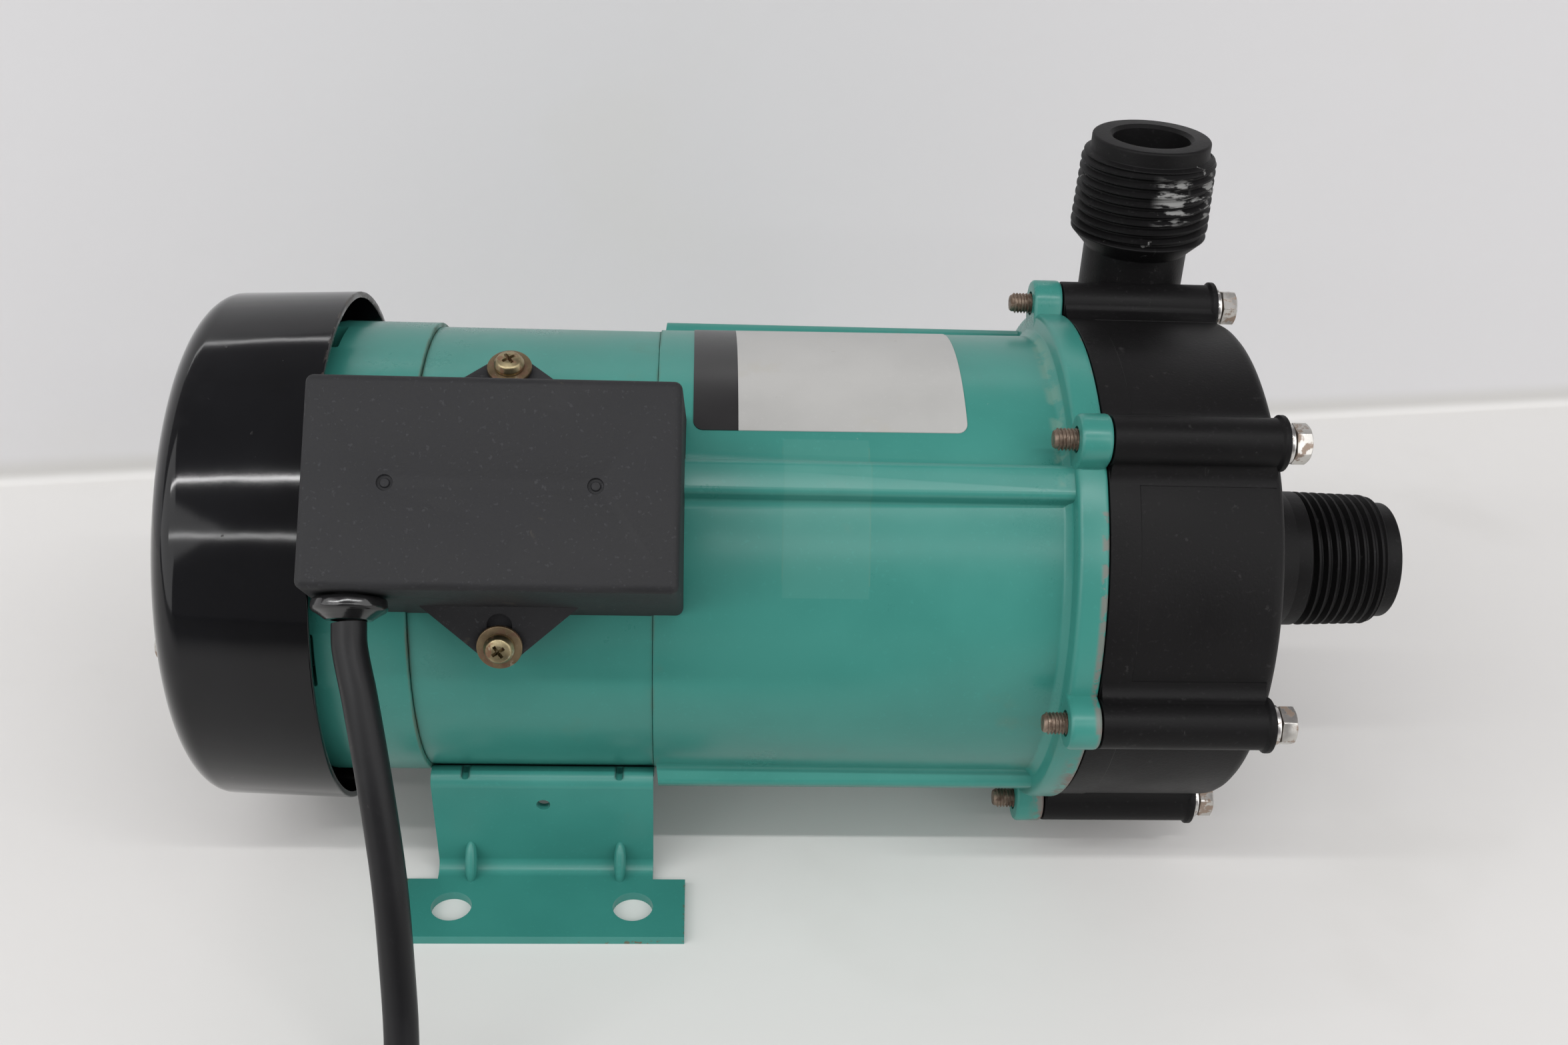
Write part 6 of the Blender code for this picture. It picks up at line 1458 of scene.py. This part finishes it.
@dataclass(frozen=True)
class MainsCord:
    """The mains cord, its coil of spare length on the floor and its plug."""

    diameter: float = 0.0072
    lift: float = 0.0038
    coil_centre: Pair = (-0.0322, -0.182007)
    lane: float = 0.0538
    pitch: float = 0.00735
    rise: float = 0.00726
    leave_radius: float = 0.0502
    plug_start: float = 0.002433
    plug_height: float = 0.0075

    @property
    def drop(self) -> list[Vector]:
        """Points from the bushing down to the floor and along it to the coil."""
        return [Vector(point) for point in (
            (-0.0971, -0.069050, 0.098570), (-0.0967, -0.072264, 0.094740), (-0.0942, -0.078750, 0.086770),
            (-0.0907, -0.088250, 0.071270), (-0.0881, -0.095750, 0.053770), (-0.0869, -0.101750, 0.035770),
            (-0.0862, -0.107007, 0.0220), (-0.0860, -0.112807, 0.0130), (-0.0860, -0.119507, 0.0076),
            (-0.0860, -0.126507, 0.0047), (-0.0860, -0.134007, 0.0038), (-0.0860, -0.153875, 0.0038))]

    def radius(self, degrees: float) -> float:
        """The coil's radius at an angle, which steps from lane to lane inside one sector of each turn."""
        lane = 0.0
        for start in (480.0, 840.0, 1200.0):
            lane += self.smooth((degrees - start) / 60.0)
        for start in (1810.0, 2170.0):
            lane -= self.smooth((degrees - start) / 60.0)
        radius = self.lane - self.pitch * lane
        share = self.smooth((degrees - 2240.0) / 180.0)
        return radius + (self.leave_radius - (self.lane - self.pitch)) * share

    def height(self, degrees: float) -> float:
        """The coil's height at an angle: two layers with a slow rise between them."""
        return self.lift + self.rise * self.smooth((degrees - 1490.0) / 100.0)

    @staticmethod
    def smooth(share: float) -> float:
        """A soft step from nought to one."""
        held = min(max(share, 0.0), 1.0)
        return held * held * (3.0 - 2.0 * held)

    def route(self) -> list[Vector]:
        """The cord's whole route from the bushing to the plug."""
        points = self.drop
        middle = Vector((*self.coil_centre, 0.0))
        straight = points[-1]
        points.append(Vector((straight.x, 0.5 * (straight.y + middle.y), straight.z)))
        step = 22.5
        count = int((2430.0 - 180.0) / step)
        for index in range(count + 1):
            degrees = 180.0 + step * index
            turn = math.radians(degrees)
            radius = self.radius(degrees)
            points.append(middle + Vector((radius * math.cos(turn), radius * math.sin(turn),
                                           self.height(degrees))))
        last = points[-1]
        reach = self.plug_start - last.x
        flat = 0.0185
        for share in (0.28, 0.54, 0.68, 0.80, 0.90, 1.0):
            x = reach * share
            fall = (max(x - flat, 0.0) / (reach - flat)) ** 2 * (last.z - self.plug_height)
            points.append(Vector((last.x + x, last.y, last.z - fall)))
        return points

    def build(self) -> None:
        points = self.route()
        curve = bpy.data.curves.new("mains_cord", "CURVE")
        curve.dimensions = "3D"
        curve.bevel_depth = 0.5 * self.diameter
        curve.bevel_resolution = 6
        curve.resolution_u = 4
        curve.use_fill_caps = True
        spline = curve.splines.new("BEZIER")
        spline.bezier_points.add(len(points) - 1)
        for index, (knot, point) in enumerate(zip(spline.bezier_points, points)):
            before = points[max(index - 1, 0)]
            after = points[min(index + 1, len(points) - 1)]
            way = (after - before).normalized()
            back = (point - before).length / 3.0
            ahead = (after - point).length / 3.0
            knot.co = point
            knot.handle_left_type = knot.handle_right_type = "FREE"
            knot.handle_left = point - way * back
            knot.handle_right = point + way * ahead
        cord = bpy.data.objects.new("mains_cord", curve)
        bpy.context.scene.collection.objects.link(cord)
        curve.materials.append(CORD_RUBBER.material())
        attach(cord, Body.PUMP.value)
        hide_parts("power_cord", "cord_coil")
        plug, pins = self.plug()

    def plug(self) -> tuple[bpy.types.Object, list[bpy.types.Object]]:
        """Makes the plug and its two pins."""
        low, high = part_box("power_plug")
        middle = 0.5 * (low + high)
        tail = 0.0120
        start = low.x + tail
        length = high.x - start
        body = block((length, high.y - low.y, high.z - low.z),
                     Matrix.Translation((start + 0.5 * length, middle.y, middle.z)), 0.0040, 5)
        piece = made("mains_plug", body)
        axis = Matrix.Translation((0.0, middle.y, middle.z)) @ ALONG_X
        profile: list[Corner] = [(low.x, 0.0), (low.x, 0.0043, 0.0004)]
        for index in range(4):
            along = low.x + 0.0012 + 0.0026 * index
            swell = 0.0046 + 0.0005 * index
            profile += [(along, swell, 0.0002), (along + 0.0016, swell + 0.0001, 0.0002),
                        (along + 0.0018, swell - 0.0006, 0.0001), (along + 0.0024, swell - 0.0005, 0.0001)]
        profile += [(start + 0.003, 0.0062), (start + 0.003, 0.0)]
        joined(piece, turned(profile, 40, axis, 2))
        grips = []
        for index in range(5):
            for way in (-1.0, 1.0):
                spot = (start + 0.0080 + 0.0032 * index, middle.y + way * 0.5 * (high.y - low.y), middle.z)
                grips.append(block((0.0012, 0.0012, 0.0100), Matrix.Translation(spot), 0.0004, 1))
        worked(piece, gathered(grips))
        dress(piece, CORD_RUBBER, Body.PUMP, ["power_plug"], 40.0)
        pins = []
        for index in (1, 2):
            a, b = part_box(f"plug_pin_{index}")
            size = b - a
            pin = made(f"plug_blade_{index}", block(size, Matrix.Translation(0.5 * (a + b)), 0.0005, 3))
            worked(pin, rod(0.0016, -0.003, 0.003, Matrix.Translation((b.x - 0.0032, 0.5 * (a.y + b.y),
                            0.5 * (a.z + b.z))) @ Matrix.Rotation(math.radians(90.0), 4, "X"), 24))
            dress(pin, INNER_FINISHES["brass"], Body.PUMP, [f"plug_pin_{index}"])
            pins.append(pin)
        return piece, pins


@dataclass(frozen=True)
class InnerPieces:
    """The pieces inside the pump and motor, which keep the frame's shapes."""

    slots: tuple[tuple[str, tuple[str, ...]], ...] = (
        ("steel", ("rear_bearing", "front_bearing", "motor_shaft", "drive_set_screw", "drive_yoke")),
        ("lamination", ("stator_core",)),
        ("aluminium", ("rotor_core", "run_capacitor")),
        ("copper", ("winding_rear", "winding_front")),
        ("ferrite", ("drive_magnet",)),
        ("white_ceramic", ("spindle", "thrust_ring")),
        ("carbon", ("capsule_bush", "mouth_ring")),
        ("black_rubber", ("casing_seal_ring",)))

    def build(self) -> None:
        """Gives each inner node a finish of its material slot."""
        for name, node in frame["nodes"].items():
            if node.hide_render:
                continue
            slot = next((key for key, names in self.slots if name in names), "black_plastic")
            look = INNER_FINISHES[slot]
            node.data.materials.clear()
            node.data.materials.append(look.material())
            LOG.info("%s keeps its shape in %s", name, look.name)


@dataclass(frozen=True)
class Studio:
    """The camera, the floor, the wall and the light."""

    eye: tuple[float, float, float] = (-0.0286, -0.3475, 0.2851)
    yaw: float = 3.82
    pitch: float = 30.04
    roll: float = 2.85
    focal: float = 2446.51 / 2352.0
    sensor: float = 36.0
    wall_y: float = 0.204
    wall_turn: float = 8.6
    wall_height: float = 0.32
    floor_front: float = -2.0
    half_length: float = 2.2
    bend: float = 0.004
    tubes: tuple[tuple[str, Corner, Pair, float], ...] = (
        ("tube_high", (-0.35, -0.80, 1.35), (2.6, 0.040), 13.0),
        ("tube_low", (-0.35, -1.28, 0.92), (2.6, 0.050), 5.0),
        ("tube_behind", (-0.45, 1.062, 1.35), (2.6, 0.050), 3.0))
    fills: tuple[tuple[str, Corner, Pair, float], ...] = (
        ("fill_left", (-1.55, -0.95, 0.80), (1.7, 1.9), 15.0),
        ("fill_right", (1.55, -0.95, 0.80), (1.7, 1.9), 15.0))
    sky: tuple[float, ...] = (1.0, 0.96, 0.99, 1.0)
    sky_strength: float = 0.26

    def camera(self) -> None:
        """Makes the camera at the photograph's place."""
        yaw, pitch, roll = (math.radians(value) for value in (self.yaw, self.pitch, self.roll))
        ahead = Vector((math.sin(yaw) * math.cos(pitch), math.cos(yaw) * math.cos(pitch), -math.sin(pitch)))
        right = Vector((math.cos(yaw), -math.sin(yaw), 0.0))
        up = right.cross(ahead)
        across = math.cos(roll) * right + math.sin(roll) * up
        upward = -math.sin(roll) * right + math.cos(roll) * up
        turn = Matrix((across, upward, -ahead)).transposed().to_4x4()
        data = bpy.data.cameras.new("photo_camera")
        data.sensor_width = self.sensor
        data.lens = self.focal * self.sensor
        data.clip_start = 0.01
        camera = bpy.data.objects.new("photo_camera", data)
        camera.matrix_world = Matrix.Translation(self.eye) @ turn
        bpy.context.scene.collection.objects.link(camera)
        bpy.context.scene.camera = camera

    def surroundings(self) -> None:
        """Makes the pale floor that bends up into a wall behind the pump."""
        start = self.wall_y - self.bend
        line = [(self.floor_front, 0.0), (start, 0.0)]
        for index in range(1, 13):
            turn = math.radians(90.0 * index / 12)
            line.append((start + self.bend * math.sin(turn), self.bend * (1.0 - math.cos(turn))))
        line.append((self.wall_y, self.wall_height))
        form = drawn([(-self.half_length, y, z) for y, z in line], 2.0 * self.half_length)
        bmesh.ops.rotate(form, cent=(0.0, self.wall_y, 0.0), verts=form.verts[:],
                         matrix=Matrix.Rotation(math.radians(self.wall_turn), 3, "Z"))
        floor = made("pale_floor", form)
        floor.data.shade_smooth()
        floor.data.materials.append(self.floor_material())

    @staticmethod
    def floor_material() -> bpy.types.Material:
        """A pale painted board, a little greyer on the wall, with faint smudges and a painted shade along the
        corner.
        """
        graph = Graph("pale_board")
        parts = graph.node("ShaderNodeSeparateXYZ", {0: graph.place}).outputs
        wall = graph.step(parts[2], 0.0, 0.004)
        colour = graph.blend(wall, (0.780, 0.770, 0.752, 1.0), (0.662, 0.658, 0.666, 1.0))
        smudge = graph.step(graph.noise(9.0, 4.0), 0.55, 0.75, 0.0, 0.25)
        colour = graph.blend(smudge, colour, (0.640, 0.632, 0.600, 1.0))
        colour = graph.blend(graph.step(parts[1], -0.50, -0.22), (0.120, 0.115, 0.110, 1.0), colour)
        # Painted shade: a darker band along the corner where the floor bends up into the wall.
        corner_shade = graph.math("MULTIPLY", graph.step(parts[2], 0.0002, 0.0030),
                           graph.step(parts[2], 0.0040, 0.0110, 1.0, 0.0))
        colour = graph.blend(graph.math("MULTIPLY", corner_shade, 0.6), colour, (0.540, 0.530, 0.500, 1.0))
        graph.tree.links.new(colour, graph.shader.inputs["Base Color"])
        graph.shader.inputs["Roughness"].default_value = 0.55
        graph.shader.inputs["Specular IOR Level"].default_value = 0.25
        bump = graph.node("ShaderNodeBump", {"Height": graph.noise(120.0, 3.0), "Strength": 0.15,
                                             "Distance": 0.0005})
        graph.tree.links.new(bump.outputs["Normal"], graph.shader.inputs["Normal"])
        return graph.material

    def lamp(self, name: str, spot: Corner, size: Pair, power: float, aside: bool = False) -> None:
        """Makes a flat lamp that faces the pump.

        Args:
            name: the lamp's name.
            spot: where it hangs.
            size: its length and its height.
            power: its power in watts.
            aside: whether it stands at the pump's side, else its length runs along the shaft.
        """
        data = bpy.data.lights.new(name, "AREA")
        data.shape = "RECTANGLE"
        data.size, data.size_y = size
        data.energy = power
        lamp = bpy.data.objects.new(name, data)
        place = Vector(spot)
        ahead = (Vector((0.0, 0.0, 0.06)) - place).normalized()
        if not aside:
            ahead.x = 0.0
            ahead.normalize()
        across = Vector((0.0, 1.0, 0.0)).cross(-ahead).normalized() if aside else Vector((1.0, 0.0, 0.0))
        upward = (-ahead).cross(across)
        turn = Matrix((across, upward, -ahead)).transposed().to_4x4()
        lamp.matrix_world = Matrix.Translation(place) @ turn
        bpy.context.scene.collection.objects.link(lamp)

    def light(self) -> None:
        """Makes the ceiling's tubes, the soft light and the even sky."""
        for tube in self.tubes:
            self.lamp(*tube)
        for fill in self.fills:
            self.lamp(*fill, aside=True)
        world = bpy.data.worlds.new("even_sky")
        world.use_nodes = True
        sky = world.node_tree.nodes["Background"].inputs
        sky["Color"].default_value = self.sky
        sky["Strength"].default_value = self.sky_strength
        bpy.context.scene.world = world
        bpy.context.scene.view_settings.view_transform = "Standard"

    def build(self) -> None:
        """Makes the camera, the surroundings and the light."""
        self.camera()
        self.surroundings()
        self.light()


def main() -> None:
    """Builds the scene piece by piece."""
    logging.basicConfig(level=logging.INFO, format="%(message)s")
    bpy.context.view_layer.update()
    bolts = BoltRing()
    for assembly in (Studio(), MainsCord(), FanCowl(), MotorHousing(), CouplingBracket(bolts),
                     PumpCasing(bolts), bolts, ConnectionBox(), BaseBracket(), InnerPieces()):
        assembly.build()
        LOG.info("%s is in place", type(assembly).__name__)


if __name__ == "__main__":
    main()
